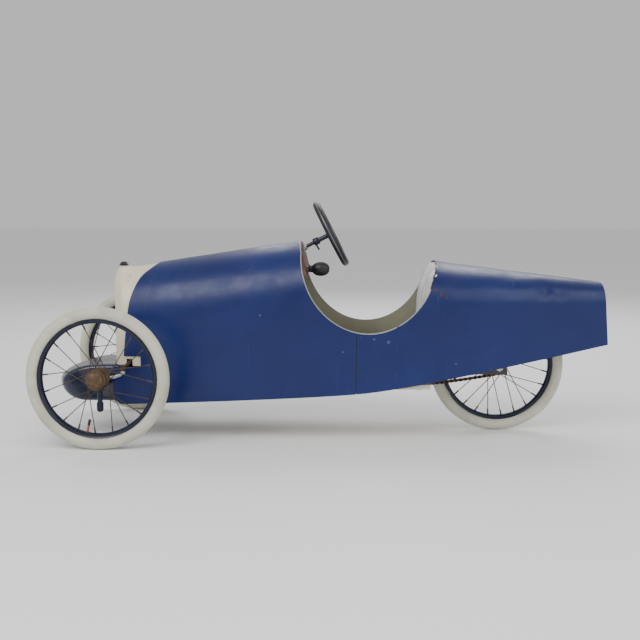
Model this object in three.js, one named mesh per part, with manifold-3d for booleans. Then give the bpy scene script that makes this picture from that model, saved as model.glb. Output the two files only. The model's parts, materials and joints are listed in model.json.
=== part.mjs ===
// A vintage chain-driven pedal cyclecar: two steered wire wheels in front, one driven behind.
// Millimetres, +Z up, nose towards -X, the driver's left towards -Y.
import * as THREE from "three";
import { mergeVertices } from "three/addons/utils/BufferGeometryUtils.js";
import Module from "manifold-3d";

const wasm = await Module();
wasm.setup();

// Driving dimensions. X is counted from the front axle and Z from the floor.
const WHEEL_R = 178;
const TYRE_R = 16;
const RIM_OUT_R = 147.9;
const RIM_IN_R = 137.5;
const RIM_HALF = 11;
const WHEELBASE = 1017.5;
const HALF_TRACK = 250;
const TAIL_X = 1302;
const GAP = 0.3;
const SHEET = 2;
const BODY_HALF = 165;
const NOSE_HALF = 118;
const TAIL_HALF = 64;
const SEAM_X = 638;
const COCKPIT = { x: 669.5, z: 480, halfLength: 173.5, depth: 201, scoop: 12, lean: 25 };
const COWL_FRONT = -3.5;
const COWL_BOTTOM = 190;
const COWL_ROUND = 22;
const COWL_BOW = 19.3;
const COWL_LIFT = 10;
const BACKBONE = { z: 127.5, r: 9, from: -22, to: 799.7 };
const FLOOR = { from: 400, to: 828, bottom: 137, top: 148.5 };
const AXLE_BEAM = { x: -8, z: 150, r: 10 };
const KINGPIN_Y = 200;
const STUB_R = 5;
const TIE_ROD = { x: 52, z: 198, r: 4, arm: 60 };
const STEER_HUB = new THREE.Vector3(572, 0, 528);
const COLUMN_LEAN = THREE.MathUtils.degToRad(27);
const COLUMN_LENGTH = 614.6;
const DROP_ARM = 48;
const CRANK = { x: 230, z: 198, arm: 88, y: 46 };
const CHAIN_Y = -32;
const CHAIN_HALF = 4.2;
const CHAIN_WIDTH = 5;
const CHAIN_SAG = 36;
const CHAINWHEEL_R = 48.66;
const SPROCKET_R = 20.55;
const FORK_Y = 52;
const SEAT = { from: 645, to: 792, z: 230, half: 128 };
const DASH = { top: [482, 0, 507], low: [503, 0, 424], thick: 9 };
const HORN = { y: -62, z: 438, bulbX: 546 };
const COLUMN_HOLE = 10;
const FRONT_HUB = { count: 20, phase: 14.3, flange: 25, boreR: STUB_R + 0.35, halfBarrel: 27 };
const REAR_HUB = { count: 24, phase: 6.6, flange: 23, boreR: STUB_R + 0.35, halfBarrel: 26 };
const FRONT_VALVE = 258;
const REAR_VALVE = 62;

// Helpers: shapes as closed solids.
function solidOf(geometry) {
  const bare = geometry.index ? geometry.toNonIndexed() : geometry.clone();
  bare.deleteAttribute("normal");
  bare.deleteAttribute("uv");
  const merged = mergeVertices(bare, 1e-3);
  const triVerts = new Uint32Array(merged.index.array);
  const vertProperties = merged.attributes.position.array;
  const solid = new wasm.Manifold(new wasm.Mesh({ numProp: 3, vertProperties, triVerts }));
  if (solid.volume() >= 0) return solid;
  for (let i = 0; i < triVerts.length; i += 3) {
    [triVerts[i + 1], triVerts[i + 2]] = [triVerts[i + 2], triVerts[i + 1]];
  }
  return new wasm.Manifold(new wasm.Mesh({ numProp: 3, vertProperties, triVerts }));
}

function geometryOf(solid) {
  const { vertProperties, triVerts, numProp } = solid.getMesh();
  const corners = new Float32Array(triVerts.length * 3);
  triVerts.forEach((vertex, i) => {
    corners.set(vertProperties.subarray(vertex * numProp, vertex * numProp + 3), i * 3);
  });
  const geometry = new THREE.BufferGeometry();
  geometry.setAttribute("position", new THREE.BufferAttribute(corners, 3));
  geometry.computeVertexNormals();
  return geometry;
}

function join(...geometries) {
  return geometries.map(solidOf).reduce((whole, piece) => whole.add(piece));
}

// A bar of round section from one point to another.
function rod(from, to, radius, sides = 16, endRadius = radius) {
  const a = new THREE.Vector3(...from);
  const b = new THREE.Vector3(...to);
  const along = b.clone().sub(a);
  const bar = new THREE.CylinderGeometry(endRadius, radius, along.length(), sides);
  const up = new THREE.Vector3(0, 1, 0);
  bar.applyQuaternion(new THREE.Quaternion().setFromUnitVectors(up, along.normalize()));
  return bar.translate(...a.add(b).multiplyScalar(0.5).toArray());
}

function box(low, high) {
  const size = high.map((value, i) => value - low[i]);
  const middle = high.map((value, i) => (value + low[i]) / 2);
  return new THREE.BoxGeometry(...size).translate(...middle);
}

// A profile of [radius, height] pairs turned about an axis along Y through (x, y, z).
function turned(profile, x, y, z, segments = 32) {
  const points = profile.map(([radius, height]) => new THREE.Vector2(radius, height));
  return new THREE.LatheGeometry(points, segments).translate(x, y, z);
}

// An outline of [x, z] pairs given a thickness along Y, from y low to y high.
function plate(outline, low, high) {
  const shape = new THREE.Shape(outline.map(([x, z]) => new THREE.Vector2(x, z)));
  const slab = new THREE.ExtrudeGeometry(shape, { depth: high - low, bevelEnabled: false });
  return slab.rotateX(Math.PI / 2).translate(0, high, 0);
}

// Closed rings of points joined into one skin, with a fan over each end ring.
function loft(rings) {
  const count = rings[0].length;
  const corners = [];
  const face = (...points) => points.forEach((point) => corners.push(...point));
  for (let i = 0; i + 1 < rings.length; i++) {
    for (let j = 0; j < count; j++) {
      const k = (j + 1) % count;
      face(rings[i][j], rings[i + 1][j], rings[i + 1][k]);
      face(rings[i][j], rings[i + 1][k], rings[i][k]);
    }
  }
  for (const [ring, turn] of [[rings[0], false], [rings[rings.length - 1], true]]) {
    const middle = ring[0].map((_, axis) => ring.reduce((sum, p) => sum + p[axis], 0) / count);
    for (let j = 0; j < count; j++) {
      const k = (j + 1) % count;
      if (turn) face(middle, ring[k], ring[j]);
      else face(middle, ring[j], ring[k]);
    }
  }
  const skin = new THREE.BufferGeometry();
  return skin.setAttribute("position", new THREE.Float32BufferAttribute(corners, 3));
}

function steps(from, to, count) {
  return Array.from({ length: count + 1 }, (_, i) => from + ((to - from) * i) / count);
}

// Body lines: half width, top, lower edge, shoulder height and squareness along the car.
function halfWidth(x) {
  if (x < 600) return BODY_HALF - (BODY_HALF - NOSE_HALF) * ((600 - x) / 600) ** 2;
  if (x < 800) return BODY_HALF;
  return BODY_HALF - (BODY_HALF - TAIL_HALF) * ((x - 800) / 500) ** 1.325;
}

function topLine(x) {
  const hood = 447 + 0.153 * (x - 72);
  const deck = 457 - 0.128 * (x - 850);
  const share = THREE.MathUtils.smoothstep(x, 500, 840);
  return hood * (1 - share) + deck * share;
}

function lowerEdge(x) {
  const front = 86.7 + 0.055 * x;
  const rear = 0.2 + 0.185 * x;
  return (front + rear) / 2 + Math.hypot((front - rear) / 2, 4);
}

function shoulder(x) {
  return THREE.MathUtils.mapLinear(THREE.MathUtils.clamp(x, 500, 1300), 500, 1300, 150, 60);
}

function squareness(x) {
  return THREE.MathUtils.mapLinear(THREE.MathUtils.clamp(x, 500, 1300), 500, 1300, 2.1, 2.7);
}

// The body's section at x, drawn in by inset, with its foot at the given height.
function bodyRing(x, inset, foot, at = x) {
  const half = halfWidth(x) - inset;
  const top = topLine(x) - inset;
  const rise = shoulder(x) - inset;
  const power = 2 / squareness(x);
  const arc = steps(0, Math.PI / 2, 7).map((t) => [
    half * Math.max(0, Math.cos(t)) ** power,
    top - rise + rise * Math.sin(t) ** power,
  ]);
  const near = [[half, foot], ...arc].map(([y, z]) => [at, -y, z]);
  const far = [[half, foot], ...arc.slice(0, -1)].reverse().map(([y, z]) => [at, y, z]);
  return [...near, ...far];
}

function bodyLoft(from, to, count, inset, drop) {
  return solidOf(loft(steps(from, to, count).map((x) => bodyRing(x, inset, lowerEdge(x) - drop))));
}

// The opening over the seat, an ellipse seen from the side; shift moves it along the car.
function cockpitCut(shift = 0) {
  const { x, z, halfLength, depth } = COCKPIT;
  const bowl = steps(0, -Math.PI, 22).map((t) => [
    x + shift + halfLength * Math.cos(t),
    z + depth * Math.sin(t),
  ]);
  const rear = [x + shift + halfLength + 3, 600];
  const front = [x + shift - halfLength - COCKPIT.lean, 600];
  const scoop = new THREE.Shape(
    steps(-1, 1, 12)
      .map((u) => new THREE.Vector2(rear[0] - 8 + COCKPIT.scoop * (1 - u * u), 128 * u))
      .concat([new THREE.Vector2(x, 128), new THREE.Vector2(x, -128)]),
  );
  const deep = new THREE.ExtrudeGeometry(scoop, { depth: 200, bevelEnabled: false });
  return solidOf(plate([rear, ...bowl, front], -200, 200)).add(
    solidOf(deep.translate(0, 0, 425)),
  );
}

// What the hood leaves open in front: its swept front edge, the tie rod notch, a round corner.
function noseCut() {
  const sweep = new THREE.SplineCurve([
    new THREE.Vector2(37, 215),
    new THREE.Vector2(46, 300),
    new THREE.Vector2(55, 364),
    new THREE.Vector2(76, 416),
    new THREE.Vector2(104, 443),
    new THREE.Vector2(142, 474),
  ]);
  const edge = sweep.getPoints(9).map((p) => [p.x, p.y]);
  const corner = steps(1.5 * Math.PI, Math.PI, 5).map((t) => [
    36 + 30 * Math.cos(t),
    118 + 30 * Math.sin(t),
  ]);
  return plate(
    [
      [-60, 60],
      [36, 60],
      ...corner,
      [6, 187],
      [82, 187],
      [82, 215],
      ...edge,
      [142, 600],
      [-60, 600],
    ],
    -200,
    200,
  );
}

function frontBodyShell() {
  return bodyLoft(4, SEAM_X, 10, 0, 0)
    .subtract(bodyLoft(-10, SEAM_X + 10, 10, SHEET, 20))
    .subtract(cockpitCut())
    .subtract(solidOf(noseCut()));
}

const tailLean = [
  [1284, 420],
  [1299, 225],
];

function rearBodyShell() {
  const beyond = plate([...tailLean, [1400, 200], [1400, 500], [1280, 480]], -200, 200);
  return bodyLoft(SEAM_X + GAP, TAIL_X, 10, 0, 0)
    .subtract(bodyLoft(SEAM_X - 10, TAIL_X + 10, 10, SHEET, 20))
    .subtract(cockpitCut())
    .subtract(solidOf(beyond));
}

function tailPanel() {
  const [top, low] = tailLean;
  const slab = plate(
    [
      [top[0] - 4, top[1]],
      [low[0] - 4, low[1]],
      [low[0] - 6, low[1]],
      [top[0] - 6, top[1]],
    ],
    -200,
    200,
  );
  const inside = loft(
    steps(1240, TAIL_X, 4).map((x) => bodyRing(x, SHEET + 1.5, lowerEdge(x) + 2)),
  );
  return solidOf(inside).intersect(solidOf(slab));
}

function cowlInset(x) {
  const run = Math.max(0, COWL_ROUND - (x - COWL_FRONT));
  return COWL_ROUND - Math.sqrt(COWL_ROUND ** 2 - Math.min(run, COWL_ROUND - 0.6) ** 2);
}

// How far the cowl's front bows back at a distance y from the middle; it fades along the car.
function cowlBow(x, y) {
  return COWL_BOW * (y / 100) ** 2 * (1 - THREE.MathUtils.smoothstep(x, COWL_FRONT, 66));
}

// One section of the cowl, bowed in plan, with its top raised near the front.
function cowlRing(x, inset, foot, shift) {
  const lift = COWL_LIFT * (1 - THREE.MathUtils.smoothstep(x, 0, 60));
  return bodyRing(Math.max(x, 0), inset, foot).map(([, y, z], j) => {
    const at = x + cowlBow(x, y);
    const [, across, up] = bodyRing(Math.max(at, 0), inset, foot)[j];
    const share = THREE.MathUtils.smoothstep(up, 290, topLine(0));
    return [at + shift, across, up + lift * share];
  });
}

function radiatorCowl() {
  const face = [96, 72, 48].map((inset) => [0, inset]);
  const bend = [0, 2, 5, 10, 16, COWL_ROUND, 44, 66, 110, 151.5].map((d) => [
    d,
    cowlInset(COWL_FRONT + d),
  ]);
  const skin = (extra, shift, foot) =>
    loft(
      [...face, ...bend].map(([d, inset], i, all) =>
        cowlRing(
          COWL_FRONT + d,
          SHEET + 1.2 + inset + extra,
          foot,
          i === all.length - 1 ? extra * 4 : shift,
        ),
      ),
    );
  const opening = box([COWL_FRONT - 5, -66, 226], [COWL_FRONT + 14, 66, 354]);
  return solidOf(skin(0, 0, COWL_BOTTOM))
    .subtract(solidOf(skin(SHEET, SHEET, COWL_BOTTOM - 20)))
    .subtract(solidOf(opening))
    .subtract(solidOf(box([TIE_ROD.x - 8, -200, 150], [TIE_ROD.x + 8, 200, TIE_ROD.z + 10])));
}

// The fairing's side outline at a distance y from the middle, drawn in by inset.
function fairingRing(y, inset, back) {
  const end = Math.max(0, Math.abs(y) - 86);
  const round = 14 - Math.sqrt(Math.max(0.2, 14 ** 2 - end ** 2));
  const shrink = inset + round * 0.75;
  const front = -157 + 29 * (y / 100) ** 2 + shrink;
  const low = 92 + shrink;
  const high = 188 - shrink;
  const middle = 139;
  const lower = steps(-Math.PI / 2, -Math.PI, 5).map((t) => [
    -70 + (-70 - front) * Math.cos(t),
    middle + (middle - low) * Math.sin(t),
  ]);
  const upper = steps(Math.PI, Math.PI / 2, 6).slice(1).map((t) => [
    -40 + (-40 - front) * Math.cos(t),
    middle + (high - middle) * Math.sin(t),
  ]);
  return [[back, low], ...lower, ...upper, [back, high + 2]].map(([x, z]) => [x, y, z]);
}

function noseFairing() {
  const ends = [-100, -97, -92, -86, -50, 0, 50, 86, 92, 97, 100];
  const outer = solidOf(loft(ends.map((y) => fairingRing(y, 0, 34))));
  const inner = solidOf(
    loft(ends.map((y) => fairingRing(y, SHEET, 50).map(([x, , z]) => [x, y * 0.978, z]))),
  );
  const axleHole = rod([AXLE_BEAM.x, -120, AXLE_BEAM.z], [AXLE_BEAM.x, 120, AXLE_BEAM.z], 11, 20);
  return outer.subtract(inner).subtract(solidOf(axleHole));
}

// Wheels. Each builder takes the wheel's middle; out is -1 or 1, the side its hub cap is on.
function tyre(x, y, z) {
  const seat = Math.acos((RIM_OUT_R + GAP - (WHEEL_R - TYRE_R)) / TYRE_R);
  const arc = steps(-seat, seat, 8).map((t) => [
    WHEEL_R - TYRE_R + TYRE_R * Math.cos(t),
    TYRE_R * Math.sin(t),
  ]);
  return solidOf(turned([...arc, arc[0]], x, y, z, 36));
}

function rim(x, y, z) {
  const half = [
    [RIM_IN_R, 6],
    [RIM_IN_R + 4, RIM_HALF - 2],
    [RIM_OUT_R, RIM_HALF],
    [RIM_OUT_R, RIM_HALF - 2],
    [RIM_IN_R + 3, 4.5],
  ];
  const mirrored = half.map(([r, h]) => [r, -h]).reverse();
  return solidOf(turned([...mirrored, ...half, mirrored[0]], x, y, z, 36));
}

function spokedHub(x, y, z, { count, phase, flange, boreR, halfBarrel }) {
  const barrel = [
    [boreR, -halfBarrel],
    [14, -halfBarrel],
    [14, -24],
    [flange, -24],
    [flange, -20],
    [12, -18],
    [12, 18],
    [flange, 20],
    [flange, 24],
    [14, 24],
    [14, halfBarrel],
    [boreR, halfBarrel],
    [boreR, -halfBarrel],
  ];
  let hub = solidOf(turned(barrel, x, y, z, 16));
  for (let i = 0; i < count; i++) {
    const rimAngle = THREE.MathUtils.degToRad(phase + (360 / count) * i);
    const lean = (Math.floor((i + 1) / 2) % 2 ? -1 : 1) * THREE.MathUtils.degToRad(62);
    const side = i % 2 ? 1 : -1;
    const reach = RIM_IN_R - 1.8;
    const root = flange - 3;
    const inner = [
      x + root * Math.cos(rimAngle + lean),
      y + side * 22,
      z + root * Math.sin(rimAngle + lean),
    ];
    const outer = [x + reach * Math.cos(rimAngle), y, z + reach * Math.sin(rimAngle)];
    hub = hub.add(solidOf(rod(inner, outer, 1.3, 3)));
  }
  return hub;
}

function valve(x, y, z, degrees) {
  const angle = THREE.MathUtils.degToRad(degrees);
  const at = (radius) => [x + radius * Math.cos(angle), y, z + radius * Math.sin(angle)];
  return join(rod(at(RIM_IN_R - 1.2), at(118), 2.6, 8), rod(at(119), at(104), 3.4, 8));
}

function hubCap(x, y, z, out) {
  const profile = [
    [15, 24.4],
    [21.5, 24.4],
    [21.5, 33],
    [19, 37],
    [9, 39.6],
    [0, 40],
    [0, 36],
    [15, 35],
    [15, 24.4],
  ];
  const cap = turned(profile, 0, 0, 0, 20);
  if (out < 0) cap.rotateX(Math.PI);
  return solidOf(cap.translate(x, y, z));
}

// Steering.
const towardDriver = new THREE.Vector3(Math.cos(COLUMN_LEAN), 0, Math.sin(COLUMN_LEAN));
const columnDown = new THREE.Vector3(Math.sin(COLUMN_LEAN), 0, -Math.cos(COLUMN_LEAN));
const alongColumn = (back) => STEER_HUB.clone().addScaledVector(towardDriver, -back).toArray();
const columnFoot = new THREE.Vector3(...alongColumn(COLUMN_LENGTH));

function steeringWheel() {
  const ring = new THREE.TorusGeometry(85.5, 9.5, 8, 30);
  const facing = new THREE.Quaternion().setFromUnitVectors(
    new THREE.Vector3(0, 0, 1),
    towardDriver,
  );
  const spokes = [0, 1, 2, 3].map((i) => {
    const angle = (Math.PI / 2) * i + Math.PI / 4;
    const end = [80 * Math.cos(angle), 80 * Math.sin(angle), 0];
    return rod([0, 0, -4], end, 5, 6);
  });
  const boss = rod([0, 0, -10], [0, 0, 9], 19, 16);
  const bore = rod([0, 0, -20], [0, 0, 2], 7, 14);
  const wheel = join(ring, boss, ...spokes).subtract(solidOf(bore));
  const placed = geometryOf(wheel).applyQuaternion(facing).translate(...STEER_HUB.toArray());
  return solidOf(placed);
}

function steeringColumn() {
  return join(
    rod(alongColumn(COLUMN_LENGTH - 9), alongColumn(44), 5, 14),
    rod(alongColumn(45), alongColumn(0), 6.5, 14),
  );
}

function columnClamp() {
  const at = alongColumn(45);
  const collar = rod(alongColumn(52), alongColumn(36), 10, 18);
  const lever = rod([at[0] + 1, -7, at[2] - 7], [at[0] + 5, -9, at[2] - 15], 2.8, 8);
  const hook = rod([at[0] + 5, -9, at[2] - 14], [at[0] + 9, -9, at[2] - 21], 2.2, 8);
  const bore = rod(alongColumn(60), alongColumn(20), 6.5 + GAP, 18);
  return join(collar, lever, hook).subtract(solidOf(bore));
}

function dropArm() {
  const tip = columnFoot.clone().addScaledVector(columnDown, DROP_ARM);
  const boss = rod(alongColumn(COLUMN_LENGTH - 8), alongColumn(COLUMN_LENGTH + 8), 9, 18);
  const bore = rod(alongColumn(COLUMN_LENGTH - 20), alongColumn(COLUMN_LENGTH + 2), 5.3, 18);
  const arm = rod(columnFoot.toArray(), tip.toArray(), 4.5, 10, 3.4);
  const ball = new THREE.SphereGeometry(5, 10, 6).translate(...tip.toArray());
  return join(boss, arm, ball).subtract(solidOf(bore));
}

function tieRod() {
  const { x, z, r } = TIE_ROD;
  const bar = rod([x, -KINGPIN_Y - 7, z], [x, KINGPIN_Y + 7, z], r, 12);
  const prong = (y) => box([x - 15, y - 1.5, z - 5], [x + 6, y + 1.5, z + 14]);
  const ends = [-1, 1].map((s) =>
    rod([x, s * KINGPIN_Y, z - 6.5], [x, s * KINGPIN_Y, z + 6.5], 7, 16),
  );
  return join(bar, prong(-8.6), prong(8.6), ...ends);
}

function kingpin(side) {
  const at = (z) => [AXLE_BEAM.x, side * KINGPIN_Y, z];
  const dome = new THREE.SphereGeometry(8.5, 12, 6);
  dome.scale(1, 1, 0.6).translate(...at(89));
  return join(
    rod(at(108), at(164.5), 6.25, 12),
    rod(at(89), at(109), 8.5, 12),
    dome,
    rod(at(160), at(198), STUB_R, 12),
  );
}

function knuckle(side) {
  const y = side * KINGPIN_Y;
  const stub = rod([0, y + side * 6, WHEEL_R], [0, y + side * 82, WHEEL_R], STUB_R, 12);
  const sleeve = rod([AXLE_BEAM.x, y, 165], [AXLE_BEAM.x, y, 191], 12, 16);
  const arm = rod([AXLE_BEAM.x + 4, y, 170], [TIE_ROD.x - 8, y, 178], 4.5, 8, 3.6);
  const ball = new THREE.SphereGeometry(6, 10, 6).translate(TIE_ROD.x, y, 185);
  const rise = rod([TIE_ROD.x - 9, y, 177.5], [TIE_ROD.x, y, 185], 3.6, 8);
  const bore = rod([AXLE_BEAM.x, y, 150], [AXLE_BEAM.x, y, 220], STUB_R + 0.4, 16);
  const head = rod([0, y + side * 78, WHEEL_R], [0, y + side * 83.8, WHEEL_R], 9, 6);
  return join(stub, sleeve, arm, ball, rise, head).subtract(solidOf(bore));
}

// Frame.
function backboneTube() {
  const { z, r, from, to } = BACKBONE;
  const tube = rod([from, 0, z], [to, 0, z], r, 20);
  const bore = rod([from - 1, 0, z], [to - 20, 0, z], r - 2, 20);
  const saddle = box([-24, -16, z], [8, 16, AXLE_BEAM.z - AXLE_BEAM.r - GAP]);
  return join(tube, saddle).subtract(solidOf(bore));
}

function frontAxleBeam() {
  const { x, z, r } = AXLE_BEAM;
  const reach = KINGPIN_Y - 6.25 - GAP;
  return join(rod([x, -reach, z], [x, reach, z], r, 18));
}

function columnSupport() {
  const at = alongColumn(COLUMN_LENGTH - 90);
  const foot = BACKBONE.z + BACKBONE.r + GAP;
  const strut = box([at[0] - 3, -12, foot], [at[0] + 3, 12, at[2] + 16]);
  const pad = box([at[0] - 18, -12, foot], [at[0] + 18, 12, foot + 4]);
  const sleeve = rod(alongColumn(COLUMN_LENGTH - 80), alongColumn(COLUMN_LENGTH - 100), 9, 18);
  const bore = rod(alongColumn(COLUMN_LENGTH - 60), alongColumn(COLUMN_LENGTH - 120), 5.4, 20);
  return join(strut, pad, sleeve).subtract(solidOf(bore));
}

function bottomBracket() {
  const { x, z } = CRANK;
  const foot = BACKBONE.z + BACKBONE.r + GAP;
  const shell = rod([x, -25, z], [x, 25, z], 15, 18);
  const post = box([x - 9, -9, foot], [x + 9, 9, z]);
  const pad = box([x - 24, -12, foot], [x + 24, 12, foot + 4]);
  const bore = rod([x, -30, z], [x, 30, z], 8.5, 24);
  return join(shell, post, pad).subtract(solidOf(bore));
}

function rearFork() {
  const crown = box([BACKBONE.to + GAP, -FORK_Y - 2, 116.8], [BACKBONE.to + 13, FORK_Y + 2, 136]);
  const bar = (side) =>
    plate(
      [
        [BACKBONE.to + 2, 119],
        [842, 133],
        [862, 143],
        [900, 151],
        [960, 159],
        [1039, 158],
        [1039, 169],
        [1030, 189],
        [1004, 189],
        [994, 176],
        [900, 165],
        [834, 150],
        [828.6, 135.5],
        [BACKBONE.to + 2, 133],
      ],
      side * FORK_Y - 2,
      side * FORK_Y + 2,
    );
  const hole = rod([WHEELBASE, -80, WHEEL_R], [WHEELBASE, 80, WHEEL_R], STUB_R + GAP, 20);
  const chainSlot = box([780, CHAIN_Y - 8, 121.7], [830, CHAIN_Y + 8, 140]);
  return join(crown, bar(-1), bar(1)).subtract(solidOf(hole)).subtract(solidOf(chainSlot));
}

function rearAxle() {
  const x = WHEELBASE;
  const nut = (side) =>
    rod([x, side * (FORK_Y + 2.4), WHEEL_R], [x, side * (FORK_Y + 10), WHEEL_R], 10, 6);
  return join(rod([x, -68, WHEEL_R], [x, 68, WHEEL_R], STUB_R, 16), nut(-1), nut(1));
}

// Drive.
function crankset() {
  const { x, z, arm, y } = CRANK;
  const limb = (side) => [
    rod([x, side * y, z], [x + side * arm, side * (y + 1), z], 8, 10, 6),
    rod([x, side * y - 7, z], [x, side * y + 7, z], 13, 16),
    rod([x + side * arm, side * (y - 5), z], [x + side * arm, side * 122, z], 4, 10),
    rod([x + side * arm, side * 119.5, z], [x + side * arm, side * 122, z], 6.5, 10),
  ];
  return join(rod([x, -y, z], [x, y, z], 8, 20), ...limb(-1), ...limb(1));
}

function chainwheel() {
  const { x, z } = CRANK;
  const radius = CHAINWHEEL_R - CHAIN_HALF - 0.5;
  const profile = [
    [8.4, -1.6],
    [radius, -1.6],
    [radius, 1.6],
    [8.4, 1.6],
    [8.4, -1.6],
  ];
  return solidOf(turned(profile, x, CHAIN_Y, z, 30));
}

function pedal(side) {
  const { x, z, arm } = CRANK;
  const at = x + side * arm;
  const low = Math.min(side * 54, side * 117);
  const block = box([at - 27, low, z - 9], [at + 27, low + 63, z + 9]);
  const bore = rod([at, low - 5, z], [at, low + 70, z], 4.4, 16);
  return solidOf(block).subtract(solidOf(bore));
}

function rearSprocket() {
  const radius = SPROCKET_R - CHAIN_HALF - 0.4;
  const profile = [
    [STUB_R + 0.4, -3],
    [12, -3],
    [12, -1.6],
    [radius, -1.6],
    [radius, 1.6],
    [12, 1.6],
    [12, 3],
    [STUB_R + 0.4, 3],
    [STUB_R + 0.4, -3],
  ];
  return solidOf(turned(profile, WHEELBASE, CHAIN_Y, WHEEL_R, 20));
}

// Half of the chain: over the top of both sprockets, or hanging below them.
function chainRun(upper) {
  const sign = upper ? 1 : -1;
  const trim = 0.012;
  const wrap = (x, z, radius, from, to) =>
    steps(from, to, 7).map((t) => [x + radius * Math.cos(t), z + sign * radius * Math.sin(t)]);
  const front = wrap(CRANK.x, CRANK.z, CHAINWHEEL_R, Math.PI - trim, Math.PI / 2);
  const rear = wrap(WHEELBASE, WHEEL_R, SPROCKET_R, Math.PI / 2, trim * 5);
  const [ax, az] = front[front.length - 1];
  const [bx, bz] = rear[0];
  const hang = upper ? 0 : CHAIN_SAG;
  const middle = steps(0, 1, upper ? 3 : 14)
    .slice(1, -1)
    .map((s) => [ax + (bx - ax) * s, az + (bz - az) * s - 4 * hang * s * (1 - s)]);
  const path = [...front, ...middle, ...rear];
  const offset = (side) =>
    path.map(([x, z], i) => {
      const [px, pz] = path[Math.max(0, i - 1)];
      const [nx, nz] = path[Math.min(path.length - 1, i + 1)];
      const length = Math.hypot(nx - px, nz - pz);
      return [x - (side * (nz - pz)) / length, z + (side * (nx - px)) / length];
    });
  const outline = [...offset(CHAIN_HALF), ...offset(-CHAIN_HALF).reverse()];
  return solidOf(plate(outline, CHAIN_Y - CHAIN_WIDTH / 2, CHAIN_Y + CHAIN_WIDTH / 2));
}

// Dashboard, horn and trim.

function dashboard() {
  const { top, low, thick } = DASH;
  const slab = plate(
    [
      [low[0], low[2]],
      [low[0] + thick, low[2]],
      [top[0] + thick, top[2] + 20],
      [top[0] - 4, top[2] + 20],
    ],
    -BODY_HALF,
    BODY_HALF,
  );
  const column = rod(alongColumn(120), alongColumn(40), COLUMN_HOLE, 20);
  const { y, z } = HORN;
  const hornHole = rod([470, y, z], [540, y, z], 7.4, 18);
  return bodyLoft(470, 540, 4, SHEET + 1.2, 0)
    .intersect(solidOf(slab))
    .subtract(solidOf(column))
    .subtract(solidOf(hornHole));
}

function columnBushing() {
  const ring = rod(alongColumn(101), alongColumn(73), COLUMN_HOLE - GAP, 20);
  const bore = rod(alongColumn(110), alongColumn(60), 5.4, 20);
  return join(ring).subtract(solidOf(bore));
}

function dashBolt(side) {
  const y = side * 96;
  const z = 433;
  const { top, low, thick } = DASH;
  const x = THREE.MathUtils.mapLinear(z, low[2], top[2] + 20, low[0], top[0]) + thick;
  const head = new THREE.SphereGeometry(7, 12, 8);
  head.scale(0.55, 1, 1).translate(x + 0.6, y, z);
  const keep = box([x + 2.2, y - 9, z - 11], [540, y + 9, z + 11]);
  return solidOf(head).intersect(solidOf(keep));
}

function hornNeck() {
  const { y, z } = HORN;
  return join(
    rod([488, y, z], [513.5, y, z], 7, 18),
    rod([460, y, z], [489, y, z], 5, 14, 7),
  );
}

function hornTrumpet() {
  const { y, z } = HORN;
  const outer = [
    [0, 0],
    [5.5, 0],
    [7, -30],
    [12, -62],
    [20, -84],
    [31, -98],
  ];
  const inner = [...outer].reverse().slice(0, -2).map(([r, h]) => [r - 1.5, h - 0.6]);
  const bell = new THREE.LatheGeometry(
    [...outer, ...inner, [0, -27]].map(([r, h]) => new THREE.Vector2(r, h)),
    20,
  );
  bell.rotateZ(-Math.PI / 2).translate(459.5, y, z);
  return solidOf(bell);
}

function hornBulb() {
  const { y, z, bulbX } = HORN;
  const swell = steps(0.5, Math.PI, 7).map((t) => [18.5 * Math.sin(t) ** 0.8, -23 * Math.cos(t)]);
  const profile = [[0, -32], [8.5, -32], [8.5, -22], ...swell];
  const bulb = new THREE.LatheGeometry(
    profile.map(([radius, height]) => new THREE.Vector2(radius, height)),
    18,
  );
  return solidOf(bulb.rotateZ(-Math.PI / 2).translate(bulbX, y, z));
}

function radiatorCap() {
  const top = topLine(16) - SHEET + COWL_LIFT * 0.75;
  const profile = [
    [0, 0],
    [12, 0],
    [12, 4],
    [9, 7.5],
    [0, 9],
  ];
  const cap = turned(profile, 0, 0, 0, 22).rotateX(Math.PI / 2);
  return solidOf(cap.rotateY(-0.06).translate(16, 0, top + 0.6));
}

function cowlStud() {
  const x = COWL_FRONT - GAP;
  return join(rod([x, 0, 410], [x - 5, 0, 410], 6, 14, 4));
}

function grillePanel() {
  const front = COWL_FRONT + SHEET + 0.6;
  const ring = (y) => {
    const x = front + cowlBow(COWL_FRONT, y);
    return [
      [x, y, 218],
      [x, y, 362],
      [x + 2, y, 362],
      [x + 2, y, 218],
    ];
  };
  return solidOf(loft(steps(-74, 74, 8).map(ring)));
}

// Floor and seat.
function floorBoard() {
  const stations = steps(FLOOR.from, FLOOR.to, 8);
  const half = (x) => halfWidth(x) - SHEET - 3;
  return solidOf(
    loft(
      stations.map((x) => [
        [x, -half(x), FLOOR.bottom],
        [x, -half(x), FLOOR.top],
        [x, half(x), FLOOR.top],
        [x, half(x), FLOOR.bottom],
      ]),
    ),
  );
}

function seatRiser(side) {
  const y = side * (SEAT.half - 8);
  return join(
    box([SEAT.from, y - 5, FLOOR.top + GAP], [SEAT.to - 12, y + 5, SEAT.z - GAP]),
  );
}

function seatBoard() {
  return join(box([SEAT.from - 10, -SEAT.half, SEAT.z], [SEAT.to - 8, SEAT.half, SEAT.z + 5]));
}

function seatCushion() {
  const edge = 7;
  const low = SEAT.z + 5 + GAP;
  const slab = plate(
    [
      [SEAT.from - 8, low],
      [SEAT.to - 14, low],
      [SEAT.to - 14, low + 4],
      [SEAT.to - 18, low + 7],
      [SEAT.from - 4, low + 7],
      [SEAT.from - 8, low + 4],
    ],
    -SEAT.half + edge,
    SEAT.half - edge,
  );
  return join(slab);
}

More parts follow.
